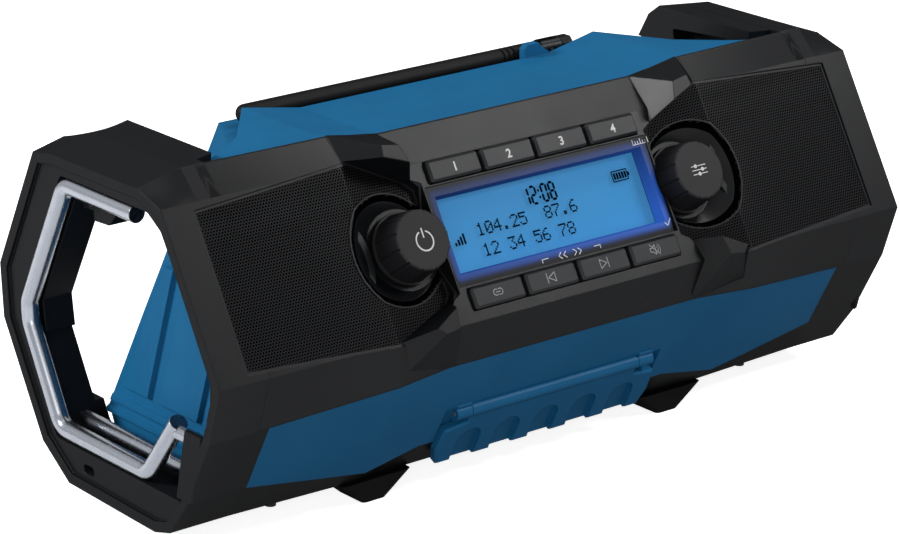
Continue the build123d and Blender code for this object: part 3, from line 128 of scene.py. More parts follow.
class Shader(Writer):
    """Writes the shader of a new material or of the world."""

    def __init__(self, owner: Material | World, output: str = "ShaderNodeOutputMaterial") -> None:
        """Empties the owner's tree and sets its output.

        Args:
            owner: The material or the world.
            output: Blender's name of the output node.
        """
        owner.use_nodes = True
        owner.node_tree.nodes.clear()
        super().__init__(owner.node_tree)
        self.owner = owner
        self.out = self.tree.nodes.new(output)

    def where(self) -> Socket:
        """Gives the place in the radio's own frame, in metres."""
        return self.add("ShaderNodeTexCoord").outputs["Object"]

    def noise(self, spot: Socket, scale: float, detail: float = 2.0) -> Socket:
        """Adds a noise, whose scale is its fineness per unit of the spot."""
        return self.add("ShaderNodeTexNoise", {"Vector": spot, "Scale": scale,
                                               "Detail": detail}).outputs["Fac"]

    def maths(self, kind: str, a: Socket | float, b: Socket | float = 0.0) -> Socket:
        """Adds one step of arithmetic, by Blender's name of it, and gives its result."""
        return self.add("ShaderNodeMath", {0: a, 1: b}, operation=kind).outputs[0]

    def graded(self, value: Socket, source: Span, target: Span, curve: str = "LINEAR") -> Socket:
        """Maps a value from one range onto another, by Blender's name of the curve between."""
        return self.add("ShaderNodeMapRange", {
            "Value": value, "From Min": source[0], "From Max": source[1], "To Min": target[0],
            "To Max": target[1]}, interpolation_type=curve).outputs["Result"]

    def tinted(self, share: Socket, colour: str, shade: str) -> Socket:
        """Mixes two hex colours, with the given share of the second one."""
        a, b, out = MIX_COLOURS
        return self.add("ShaderNodeMix", {"Factor": share, a: linear(colour), b: linear(shade)},
                        data_type="RGBA").outputs[out]

    def mixed(self, share: Socket | float, a: Node, b: Node) -> Socket:
        """Mixes two nodes' shaders, with the given share of the second one."""
        return self.add("ShaderNodeMixShader", {0: share, 1: a.outputs[0],
                                                2: b.outputs[0]}).outputs["Shader"]

    def broken_edge(self, radius: float) -> Socket:
        """Makes the normal of softly broken edges, left flat on sheets thinner than the radius.

        Args:
            radius: Radius of the edges in metres.

        Returns:
            The normal's socket.
        """
        flat = self.add("ShaderNodeNewGeometry").outputs["Normal"]
        soft = self.add("ShaderNodeBevel", {"Radius": radius}, samples=6).outputs["Normal"]
        along = self.add("ShaderNodeVectorMath", {0: flat, 1: soft}, operation="DOT_PRODUCT")
        keep = self.graded(along.outputs["Value"], (0.3, 0.5), (0.0, 1.0))
        a, b, out = MIX_VECTORS
        return self.add("ShaderNodeMix", {"Factor": keep, a: flat, b: soft},
                        data_type="VECTOR").outputs[out]

    def seen_rays(self) -> Socket:
        """Picks the rays that look at something, straight or by a shiny or clear surface.

        Returns:
            A socket that is 1 for them.
        """
        path = self.add("ShaderNodeLightPath")
        total = path.outputs["Is Camera Ray"]
        for kind in ("Is Glossy Ray", "Is Transmission Ray"):
            total = self.maths("MAXIMUM", total, path.outputs[kind])
        return total

    def surface(self, shader: Socket) -> Material | World:
        """Links a shader to the output and gives the finished material or world."""
        self.tree.links.new(shader, self.out.inputs["Surface"])
        return self.owner


# ---- finishes
@dataclass(frozen=True)
class Moulded:
    """Moulded plastic or rubber with a spark-eroded grain and softly broken edges.

    Args:
        name: Name of the material.
        colour: Main colour in hex.
        shade: Second colour, which clouds the first one faintly.
        roughness: Roughness of the surface.
        grain: Size of the grain in metres.
        depth: Depth of the grain, from 0 to 1.
        edge: Radius of the broken edges in metres.
        gloss: Share of the light that it mirrors.
        clouds: Fineness of the clouding per metre.
    """

    name: str
    colour: str
    shade: str
    roughness: float = 0.45
    grain: float = 0.0005
    depth: float = 0.12
    edge: float = 0.0004
    gloss: float = 0.014
    clouds: float = 38.0

    def build(self) -> Material:
        """Builds the material.

        Returns:
            The finished material.
        """
        n = Shader(bpy.data.materials.new(self.name))
        where = n.where()
        cloud = n.noise(where, self.clouds, 6.0)
        bump = n.add(
            "ShaderNodeBump",
            {"Strength": self.depth, "Distance": self.grain * 0.5,
             "Height": n.noise(where, 1.0 / self.grain), "Normal": n.broken_edge(self.edge)},
        ).outputs["Normal"]
        rough = n.graded(cloud, (0.0, 1.0), (self.roughness - 0.05, self.roughness + 0.07))
        body = n.add(
            "ShaderNodeBsdfPrincipled",
            {"Base Color": n.tinted(cloud, self.colour, self.shade), "Roughness": rough,
             "Specular IOR Level": 0.0, "Normal": bump},
        )
        mirror = n.add("ShaderNodeBsdfGlossy", {"Color": (1, 1, 1, 1), "Roughness": rough,
                                                "Normal": bump})
        return n.surface(n.mixed(self.gloss, body, mirror))


@dataclass(frozen=True)
class Metal:
    """Bare or plated metal with fine drawing lines.

    Args:
        name: Name of the material.
        colour: Main colour in hex.
        shade: Colour of the drawing lines in hex.
        roughness: Roughness of the surface.
        stretch: Fineness of the lines along X, Y and Z, per metre.
        edge: Radius of the broken edges in metres.
    """

    name: str
    colour: str
    shade: str
    roughness: float = 0.28
    stretch: Triple = (900.0, 900.0, 900.0)
    edge: float = 0.0003

    def build(self) -> Material:
        """Builds the material.

        Returns:
            The finished material.
        """
        n = Shader(bpy.data.materials.new(self.name))
        scaled = n.add("ShaderNodeMapping", {"Vector": n.where(), "Scale": self.stretch})
        lines = n.noise(scaled.outputs["Vector"], 1.0, 4.0)
        bump = n.add("ShaderNodeBump", {"Strength": 0.02, "Distance": 0.00003, "Height": lines,
                                        "Normal": n.broken_edge(self.edge)})
        rough = n.graded(lines, (0.0, 1.0), (self.roughness - 0.06, self.roughness + 0.1))
        bsdf = n.add(
            "ShaderNodeBsdfPrincipled",
            {"Base Color": n.tinted(lines, self.colour, self.shade), "Metallic": 1.0,
             "Roughness": rough, "Normal": bump.outputs["Normal"]},
        )
        return n.surface(bsdf.outputs["BSDF"])


@dataclass(frozen=True)
class Display:
    """A blue display lit from behind, brighter at its lower edge.

    Args:
        name: Name of the material.
        base: Colour of the display under outside light.
        colour: Colour of the light at its lower edge.
        deep: Colour of the light at its upper edge.
        strength: Light that it gives off.
        rise: Heights of the two edges in metres.
    """

    name: str
    base: str = "2A70A6"
    colour: str = "4A8CBA"
    deep: str = "4283B2"
    strength: float = 0.52
    rise: Span = (0.100, 0.130)

    def build(self) -> Material:
        """Builds the material.

        Returns:
            The finished material.
        """
        n = Shader(bpy.data.materials.new(self.name))
        split = n.add("ShaderNodeSeparateXYZ", {"Vector": n.where()})
        rise = n.graded(split.outputs["Z"], self.rise, (0.0, 1.0), "SMOOTHSTEP")
        bsdf = n.add(
            "ShaderNodeBsdfPrincipled",
            {"Base Color": linear(self.base), "Roughness": 0.6, "Specular IOR Level": 0.0,
             "Emission Color": n.tinted(rise, self.colour, self.deep),
             "Emission Strength": self.strength},
        )
        return n.surface(bsdf.outputs["BSDF"])


@dataclass(frozen=True)
class Clear:
    """A clear window with a faint smear on it.

    Args:
        name: Name of the material.
        mirror: Share of light that it throws back.
        smear: Fineness of the smear per metre.
        rough: Least and most roughness that it brings.
    """

    name: str
    mirror: float = 0.001
    smear: float = 60.0
    rough: Span = (0.10, 0.20)

    def build(self) -> Material:
        """Builds the material.

        Returns:
            The finished material.
        """
        n = Shader(bpy.data.materials.new(self.name))
        rough = n.graded(n.noise(n.where(), self.smear, 3.0), (0.0, 1.0), self.rough)
        gloss = n.add("ShaderNodeBsdfGlossy", {"Roughness": rough})
        return n.surface(n.mixed(self.mirror, n.add("ShaderNodeBsdfTransparent"), gloss))


@dataclass(frozen=True)
class Glow:
    """Dark plastic with a painted blue glow on it: it gives off light of its own, standing in for the
    display's light that falls on it, and this fades away from the display's window.

    Args:
        name: Name of the material.
        colour: Colour of the plastic.
        gloss: Share of light that its sheen throws back.
        light: Colour of the light.
        strength: Strength of the light at the window.
        margin: Width round the lens with full light, in millimetres.
        reach: Distance over which it fades, in millimetres.
        below: Distances from the window's middle, down and up, between which it weakens.
        weak: Share of it that is left above the window.
        along: Places along the radio between which it grows, in metres as these distances.
        left: Share of it at the left end.
        roughness: Roughness of the sheen.
    """

    name: str
    colour: str
    gloss: float
    light: str = "2F66D2"
    strength: float = 0.7
    margin: float = 1.0
    reach: float = 4.2
    below: Span = (-0.012, 0.017)
    weak: float = 0.35
    along: Span = (-0.05, 0.055)
    left: float = 0.55
    roughness: float = 0.3

    def build(self) -> Material:
        """Builds the material.

        Returns:
            The finished material.
        """
        n = Shader(bpy.data.materials.new(self.name))
        where = n.where()
        from_crease = n.add("ShaderNodeMapping", {
            "Vector": where, "Location": tuple(-c * MM for c in CREASE)}, vector_type="POINT")
        split = n.add("ShaderNodeSeparateXYZ", {"Vector": from_crease.outputs["Vector"]})
        u = split.outputs["X"]
        v = n.maths("ADD", n.maths("MULTIPLY", split.outputs["Y"], math.sin(LEAN)),
                    n.maths("MULTIPLY", split.outputs["Z"], math.cos(LEAN)))
        u0, v0, u1, v1 = LENS
        middle = (v0 + v1) / 2 * MM
        off_u = n.maths("SUBTRACT", n.maths("ABSOLUTE", u), (u1 + self.margin) * MM)
        off_v = n.maths("SUBTRACT", n.maths("ABSOLUTE", n.maths("SUBTRACT", v, middle)),
                        ((v1 - v0) / 2 + self.margin) * MM)
        far_u, far_v = n.maths("MAXIMUM", off_u, 0.0), n.maths("MAXIMUM", off_v, 0.0)
        far = n.maths("SQRT", n.maths("ADD", n.maths("MULTIPLY", far_u, far_u),
                                      n.maths("MULTIPLY", far_v, far_v)))
        share = n.graded(far, (0.0, self.reach * MM), (self.strength, 0.0), "SMOOTHERSTEP")
        # The painted glow is weaker above the window and towards the left end
        low = n.graded(v, (middle + self.below[0], middle + self.below[1]), (1.0, self.weak))
        side = n.graded(u, self.along, (self.left, 1.0))
        power = n.maths("MULTIPLY", n.maths("MULTIPLY", share, low), side)
        bump = n.add("ShaderNodeBump", {"Strength": 0.06, "Distance": 0.0002,
                                        "Height": n.noise(where, 1500.0)}).outputs["Normal"]
        body = n.add(
            "ShaderNodeBsdfPrincipled",
            {"Base Color": linear(self.colour), "Roughness": self.roughness,
             "Specular IOR Level": 0.0, "Normal": bump, "Emission Color": linear(self.light),
             "Emission Strength": power},
        )
        sheen = n.add("ShaderNodeBsdfGlossy", {"Roughness": self.roughness, "Normal": bump})
        return n.surface(n.mixed(self.gloss, body, sheen))


class Look(Enum):
    """Every finish on the radio."""

    BLUE = Moulded("blue_plastic", "206A98", "1C5D87", 0.34, 0.0006, 0.08, 0.0005, 0.008)
    BLACK = Moulded("black_plastic", "151618", "121315", 0.28, 0.0005, 0.12, 0.0006, 0.010)
    FRAME = Moulded("frame_plastic", "17181A", "141517", 0.30, 0.0005, 0.12, 0.0008, 0.010)
    PANEL = Moulded("panel_plastic", "101012", "0D0D0F", 0.25, 0.0008, 0.04, 0.0003, 0.006)
    KNOB = Moulded("knob_rubber", "242426", "1E1E20", 0.42, 0.0004, 0.2, 0.0005, 0.010)
    BUTTON = Moulded("button_rubber", "242527", "1F2022", 0.32, 0.0004, 0.15, 0.0004, 0.013)
    RUBBER = Moulded("foot_rubber", "131314", "101011", 0.6, 0.0006, 0.25, 0.0006, 0.004)
    GRILLE = Moulded("grille_sheet", "27272A", "222224", 0.34, 0.0004, 0.05, 0.00005, 0.010)
    # Painted shade: a near-black, matt sheet under the perforated sheets and on the speaker, so that
    # the holes show dark as the shade behind the grille
    CLOTH = Moulded("grille_shade_backing", "040405", "020203", 0.95, 0.0007, 0.3, 0.0001, 0.0)
    MAST = Moulded("mast_rubber", "141415", "101011", 0.5, 0.0005, 0.15, 0.0004, 0.008)
    PRINT = Moulded("white_print", "E9E9E6", "DEDEDB", 0.5, 0.0003, 0.05, 0.0001)
    FAINT = Moulded("grey_print", "A9AAAB", "9D9E9F", 0.5, 0.0003, 0.05, 0.0001)
    DARK_PRINT = Moulded("display_segment", "04101F", "030C18", 0.6, 0.0003, 0.05, 0.00005, 0.0)
    GREY = Moulded("grey_plastic", "4A4B4D", "404143", 0.45, 0.0005, 0.12, 0.0004)
    WHITE = Moulded("white_plastic", "D8D8D6", "CFCFCC", 0.5, 0.0005, 0.08, 0.0003)
    BOARD = Moulded("solder_mask", "1C5A35", "174E2D", 0.35, 0.0010, 0.08, 0.0002)
    BAR = Metal("drawn_aluminium", "8F939B", "80848C", 0.24, (1600.0, 160.0, 160.0))
    STEEL = Metal("plated_steel", "A9AAAC", "8E9092", 0.35)
    SCREW = Metal("blackened_steel", "232426", "1B1C1D", 0.4)
    BRASS = Metal("contact_brass", "C9A75A", "B08D42", 0.3)
    DISPLAY = Display("lit_display")
    LENS = Clear("display_lens")
    # Console plastic with a painted glow of the display's light, also used on the walls round the lens
    CONSOLE = Glow("console_painted_glow", "151618", 0.009)


FINISHES: dict[Look, Material] = {}


def finish(look: Look) -> Material:
    """Gives a finish's material, built on first use.

    Args:
        look: The finish wanted.

    Returns:
        Its material.
    """
    if look not in FINISHES:
        FINISHES[look] = look.value.build()
    return FINISHES[look]


SLOTS = {
    "blue_plastic": Look.BLUE, "black_plastic": Look.BLACK, "gloss_black": Look.PANEL,
    "black_rubber": Look.RUBBER, "knob_rubber": Look.KNOB, "button_rubber": Look.BUTTON,
    "grey_rubber": Look.GREY, "aluminium_bar": Look.BAR, "grille_metal": Look.CLOTH,
    "clear_lens": Look.LENS, "blue_display": Look.DISPLAY, "white_plastic": Look.WHITE,
    "grey_plastic": Look.GREY, "green_board": Look.BOARD, "speaker_steel": Look.STEEL,
    "speaker_paper": Look.CLOTH, "brass_contact": Look.BRASS,
}
# Nodes whose finish differs from their slot's
BY_NODE = {
    "left_end_frame": Look.FRAME, "right_end_frame": Look.FRAME, "antenna_mast": Look.MAST,
    "console_panel": Look.CONSOLE, "housing_screws": Look.SCREW,
}


def dress(frame: dict) -> None:
    """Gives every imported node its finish.
    """
    slots = {s["node"]: s["material_slot"] for s in frame["record"]["subparts"]}
    for name, obj in frame["nodes"].items():
        look = BY_NODE.get(name, SLOTS[slots[name]])
        for spot in obj.material_slots:
            spot.material = finish(look)
        if not obj.material_slots:
            obj.data.materials.append(finish(look))
        LOG.info("dressed %s: %s", name, look.name.lower())


# ---- meshes
def new_object(name: str, mesh: Mesh, look: Look, body: str) -> Object:
    """Puts a finished mesh in the scene on one of the radio's bodies.

    Args:
        name: Name of the piece.
        mesh: Its mesh, in the radio's frame.
        look: Its finish.
        body: The body it rides on.

    Returns:
        The new object.
    """
    obj = bpy.data.objects.new(name, mesh)
    bpy.context.scene.collection.objects.link(obj)
    mesh.materials.clear()
    mesh.materials.append(finish(look))
    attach(obj, body)
    LOG.info("built %s", name)
    return obj


def closed(bm: bmesh.types.BMesh, name: str) -> Mesh:
    """Turns a working mesh into a plain one with its faces outward.

    Args:
        bm: The working mesh, which is freed.
        name: Name of the mesh.

    Returns:
        The mesh.
    """
    bmesh.ops.recalc_face_normals(bm, faces=bm.faces)
    mesh = bpy.data.meshes.new(name)
    bm.to_mesh(mesh)
    bm.free()
    return mesh


def slabs(name: str, polys: Sequence[Poly], z: float, thick: float,
          place: Callable[[float, float, float], Vector] = front) -> Mesh:
    """Makes thin raised plates from flat outlines.

    Args:
        name: Name of the mesh.
        polys: Outlines in millimetres.
        z: Height of their undersides over the surface.
        thick: Their thickness.
        place: Gives a point of the surface.

    Returns:
        The mesh.
    """
    bm = bmesh.new()
    for poly in polys:
        low = [bm.verts.new(place(x, y, z)) for x, y in poly]
        high = [bm.verts.new(place(x, y, z + thick)) for x, y in poly]
        bm.faces.new(high)
        bm.faces.new(list(reversed(low)))
        for i in range(len(poly)):
            j = (i + 1) % len(poly)
            bm.faces.new((low[i], low[j], high[j], high[i]))
    return closed(bm, name)


def as_mesh(obj: Object, name: str) -> Mesh:
    """Turns an object with its modifiers into a plain mesh and drops the object.

    Args:
        obj: The working object.
        name: Name of the mesh.

    Returns:
        The mesh.
    """
    bpy.context.scene.collection.objects.link(obj)
    bpy.context.view_layer.update()
    graph = bpy.context.evaluated_depsgraph_get()
    mesh = bpy.data.meshes.new_from_object(obj.evaluated_get(graph))
    mesh.name = name
    data = obj.data
    bpy.data.objects.remove(obj)
    (bpy.data.curves if isinstance(data, Curve) else bpy.data.meshes).remove(data)
    return mesh


# ---- drawing
def arc(cx: float, cy: float, r: float, a0: float, a1: float, steps: int = 18) -> list[Point2]:
    """Gives the points of an arc round (cx, cy), from one angle to the other in degrees."""
    angles = [math.radians(a0 + (a1 - a0) * i / steps) for i in range(steps + 1)]
    return [(cx + r * math.cos(a), cy + r * math.sin(a)) for a in angles]


def ring(r0: float, r1: float, a0: float = 0.0, a1: float = 360.0, steps: int = 36) -> list[Poly]:
    """Gives the quads of a flat ring, or of its part between two angles in degrees."""
    low, high = arc(0, 0, r0, a0, a1, steps), arc(0, 0, r1, a0, a1, steps)
    return [[low[i], high[i], high[i + 1], low[i + 1]] for i in range(steps)]


def stroke(points: Sequence[Point2], width: float, past: float = 0.3) -> list[Poly]:
    """Turns a line into quads of the given width.

    Args:
        points: The line's points.
        width: Its width.
        past: How far a run reaches past its ends, as a share of half the width.

    Returns:
        One outline for each run of the line.
    """
    made: list[Poly] = []
    for (x0, y0), (x1, y1) in zip(points, points[1:]):
        d = Vector((x1 - x0, y1 - y0)).normalized() * (width / 2)
        nx, ny = -d.y, d.x
        x0, y0, x1, y1 = x0 - d.x * past, y0 - d.y * past, x1 + d.x * past, y1 + d.y * past
        made.append([(x0 + nx, y0 + ny), (x0 - nx, y0 - ny), (x1 - nx, y1 - ny),
                     (x1 + nx, y1 + ny)])
    return made


def box(x0: float, y0: float, x1: float, y1: float) -> Poly:
    """Gives the outline of a rectangle from its lower left to its upper right corner."""
    return [(x0, y0), (x1, y0), (x1, y1), (x0, y1)]


def moved(polys: Sequence[Poly], dx: float, dy: float) -> list[Poly]:
    """Gives outlines shifted by (dx, dy)."""
    return [[(x + dx, y + dy) for x, y in poly] for poly in polys]


def inside(poly: Poly, x: float, y: float) -> bool:
    """Tells whether a point lies inside an outline.

    Args:
        poly: The outline.
        x: The point's x.
        y: The point's y.

    Returns:
        True if it is inside.
    """
    hit = False
    for (x0, y0), (x1, y1) in zip(poly, list(poly[1:]) + [poly[0]]):
        if (y0 > y) != (y1 > y) and x < (x1 - x0) * (y - y0) / (y1 - y0) + x0:
            hit = not hit
    return hit


def lettering(name: str, text: str, high: float, spot: Triple, look: Look,
              body: str, bold: float = 0.0) -> Object:
    """Prints figures on the leaning front.

    Args:
        name: Name of the piece.
        text: The figures.
        high: Height of a figure in millimetres.
        spot: Middle of the figures on the front, and their height over it.
        look: Their finish.
        body: The body they ride on.
        bold: How much the strokes are widened, in millimetres.

    Returns:
        The printed piece.
    """
    curve = bpy.data.curves.new(name, "FONT")
    curve.body, curve.size, curve.offset, curve.extrude = text, 10.0, bold, 0.02
    mesh = as_mesh(bpy.data.objects.new(name, curve), name)
    xs = [v.co.x for v in mesh.vertices]
    ys = [v.co.y for v in mesh.vertices]
    scale = high / (max(ys) - min(ys))
    cx, cy = (max(xs) + min(xs)) / 2, (max(ys) + min(ys)) / 2
    for v in mesh.vertices:
        v.co = front(
            spot[0] + (v.co.x - cx) * scale, spot[1] + (v.co.y - cy) * scale, spot[2] + v.co.z
        )
    return new_object(name, mesh, look, body)


def printed(name: str, polys: Sequence[Poly], spot: Triple, look: Look,
            body: str, thick: float = 0.04) -> Object:
    """Prints outlines on the leaning front, about the spot's u and v and at its height w."""
    mesh = slabs(name, moved(polys, spot[0], spot[1]), spot[2], thick)
    return new_object(name, mesh, look, body)


# ---- prints on the controls
class Marks(Enum):
    """Generic pictograms, drawn about their own middle in millimetres."""

    POWER = "power"
    BACK = "back"
    NEXT = "next"
    MUTE = "mute"
    LINK = "link"
    DIAL = "dial"
    TICK = "tick"
    INPUTS = "inputs"
    SCAN = "scan"

    def polys(self) -> list[Poly]:
        """Gives the outlines of the pictogram.

        Returns:
            Its polygons.
        """
        if self is Marks.POWER:
            return ring(3.85, 4.5, 112, 428, 40) + stroke([(0, 1.4), (0, 5.4)], 0.65)
        if self is Marks.NEXT:
            tri = [(-2.0, -2.0), (1.6, 0.0), (-2.0, 2.0), (-2.0, -2.0)]
            return stroke(tri, 0.38) + stroke([(2.3, -2.2), (2.3, 2.2)], 0.4)
        if self is Marks.BACK:
            return [[(-x, y) for x, y in reversed(p)] for p in Marks.NEXT.polys()]
        if self is Marks.MUTE:
            horn = [(-2.6, -0.8), (-1.4, -0.8), (0.2, -2.2), (0.2, 2.2), (-1.4, 0.8), (-2.6, 0.8),
                    (-2.6, -0.8)]
            return (stroke(horn, 0.34) + stroke(arc(0.2, 0, 1.5, -50, 50, 8), 0.32)
                    + stroke(arc(0.2, 0, 2.6, -50, 50, 10), 0.32)
                    + stroke([(-2.4, 2.5), (2.2, -2.5)], 0.36))
        if self is Marks.LINK:
            left = ring(1.1, 1.5, 50, 310, 24)
            right = ring(1.1, 1.5, -130, 130, 24)
            return moved(left, -1.1, 0) + moved(right, 1.1, 0) + stroke([(-1.1, 0), (1.1, 0)], 0.4)
        if self is Marks.DIAL:
            ticks = [stroke([(x, -1.0), (x, 0.2 if i % 3 else 1.1)], 0.32)
                     for i, x in enumerate((-4.2, -2.8, -1.4, 0.0, 1.4, 2.8, 4.2))]
            return [p for t in ticks for p in t] + stroke([(-4.4, -1.2), (4.4, -1.2)], 0.3)
        if self is Marks.TICK:
            return stroke([(-1.7, 0.1), (-0.5, -1.3), (1.9, 1.5)], 0.5)
        if self is Marks.SCAN:
            made = (stroke([(-13.9, -1.2), (-13.9, 0.3), (-10.6, 0.3)], 0.36)
                    + stroke([(18.0, -1.2), (18.0, 0.3), (14.7, 0.3)], 0.36))
            for x, way in ((-4.0, -0.8), (-1.4, -0.8), (4.2, 0.8), (6.8, 0.8)):
                made += stroke([(x - way, 1.4), (x + way, 0.0), (x - way, -1.4)], 0.36)
            return made
        made = [p for y in (-1.8, 0.0, 1.8) for p in stroke([(-4.0, y), (4.0, y)], 0.36)]
        for x, y in ((-1.6, 1.8), (1.8, 0.0), (-0.4, -1.8)):
            made += moved(ring(0.0, 0.85, steps=16), x, y)
        return made


@dataclass
class ControlMarks:
    """Figures and pictograms on the knobs, the buttons and the console.

    Args:
        lift: Height of a print's underside over its surface.
        high: Height of the figures.
        bold: How much their strokes are widened.
        icons: Pictograms of the lower row of buttons, from the left.
        icon_shift: Shift of these from the middles of their buttons.
        power_shift: Shift of the power sign from the middle of its knob.
        console: Pictograms on the console, and their places on the front.
    """

    lift: float = 0.015
    high: float = 3.9
    bold: float = 0.22
    icons: tuple[Marks, ...] = (Marks.LINK, Marks.BACK, Marks.NEXT, Marks.MUTE)
    icon_shift: Point2 = (-0.6, 0.2)
    power_shift: Point2 = (0.6, -0.6)
    console: tuple[tuple[Marks, Point2], ...] = (
        (Marks.DIAL, (57.2, 57.4)), (Marks.TICK, (57.4, 20.2)), (Marks.SCAN, (0.0, 18.0)),
    )

    def build(self) -> Pieces:
        """Builds every print.

        Returns:
            The printed pieces.
        """
        return self.upper_row() + self.lower_row() + self.knobs() + [
            printed(f"mark_{mark.value}", mark.polys(), (u, v, CONSOLE_W + self.lift), Look.PRINT,
                    "housing")
            for mark, (u, v) in self.console
        ]

    def upper_row(self) -> Pieces:
        """Prints the figures on the upper buttons."""
        return [
            lettering(f"figure_{i}", str(i), self.high, (u, TOP_ROW_V, TOP_ROW_W + self.lift),
                      Look.PRINT, f"preset_button_{i}", self.bold)
            for i, u in enumerate(BUTTON_US, 1)
        ]

    def lower_row(self) -> Pieces:
        """Prints the pictograms on the lower buttons."""
        du, dv = self.icon_shift
        return [
            printed(f"icon_{mark.value}", mark.polys(),
                    (u + du, LOW_ROW_V + dv, LOW_ROW_W + self.lift), Look.FAINT,
                    f"function_button_{i}")
            for i, (u, mark) in enumerate(zip(BUTTON_US, self.icons), 1)
        ]

    def knobs(self) -> Pieces:
        """Prints the pictograms on the two knobs.

        Returns:
            The pieces.
        """
        du, dv = self.power_shift
        w = KNOB_FACE_W + self.lift
        return [
            printed("icon_power", Marks.POWER.polys(), (du - KNOB_U, KNOB_V + dv, w), Look.PRINT,
                    "volume_knob"),
            printed("icon_inputs", Marks.INPUTS.polys(), (KNOB_U, KNOB_V, w), Look.PRINT,
                    "tune_knob"),
        ]


# ---- display
# Lit segments of each figure, named as on a data sheet, and rows of dots in hex from the top
SEGMENTS = {"0": "abcdef", "1": "bc", "2": "abged", "8": "abcdefg"}
DOTS = {
    "0": "0E11131519110E", "1": "040C040404040E", "2": "0E11010204081F", "3": "1F02040201110E",
    "4": "02060A121F0202", "5": "1F101E0101110E", "6": "0608101E11110E", "7": "1F010204080808",
    "8": "0E11110E11110E", ".": "00000000000C0C", " ": "00000000000000",
}
DOT_ROWS, DOT_COLUMNS = 7, 5


def seven_segment(char: str, wide: float, high: float, thick: float,
                  gap: float = 0.14) -> list[Poly]:
    """Draws one figure of a seven-segment display.

    Args:
        char: The figure.
        wide: Its width.
        high: Its height.
        thick: Width of a segment.
        gap: Gap at each end of a segment.

    Returns:
        Its segments.
    """
    x, y, t = wide / 2, high / 2, thick / 2
    runs = {
        "a": ((-x, y), (x, y)), "g": ((-x, 0), (x, 0)), "d": ((-x, -y), (x, -y)),
        "f": ((-x, 0), (-x, y)), "b": ((x, 0), (x, y)),
        "e": ((-x, -y), (-x, 0)), "c": ((x, -y), (x, 0)),
    }
    made: list[Poly] = []
    for key in SEGMENTS[char]:
        (x0, y0), (x1, y1) = runs[key]
        if y0 == y1:
            x0, x1 = x0 + gap, x1 - gap
            made.append([(x0, y0), (x0 + t, y0 - t), (x1 - t, y0 - t), (x1, y0),
                         (x1 - t, y0 + t), (x0 + t, y0 + t)])
        else:
            y0, y1 = y0 + gap, y1 - gap
            made.append([(x0, y0), (x0 + t, y0 + t), (x0 + t, y1 - t), (x0, y1),
                         (x0 - t, y1 - t), (x0 - t, y0 + t)])
    return made


def dot_line(text: str, pitch: float, advance: float = 5.75, fill: float = 0.47) -> list[Poly]:
    """Draws figures as a dot matrix of five by seven.

    Args:
        text: The figures.
        pitch: Distance from dot to dot.
        advance: Distance from figure to figure, in dots.
        fill: Half a dot's side, as a share of the pitch.

    Returns:
        The dots, from the lower left of the first figure.
    """
    made: list[Poly] = []
    side = pitch * fill
    for i, char in enumerate(text):
        for r in range(DOT_ROWS):
            bits = int(DOTS[char][2 * r : 2 * r + 2], 16)
            for c in range(DOT_COLUMNS):
                if bits >> (DOT_COLUMNS - 1 - c) & 1:
                    x, y = (i * advance + c) * pitch, (DOT_ROWS - 1 - r) * pitch
                    made.append(box(x - side, y - side, x + side, y + side))
    return made


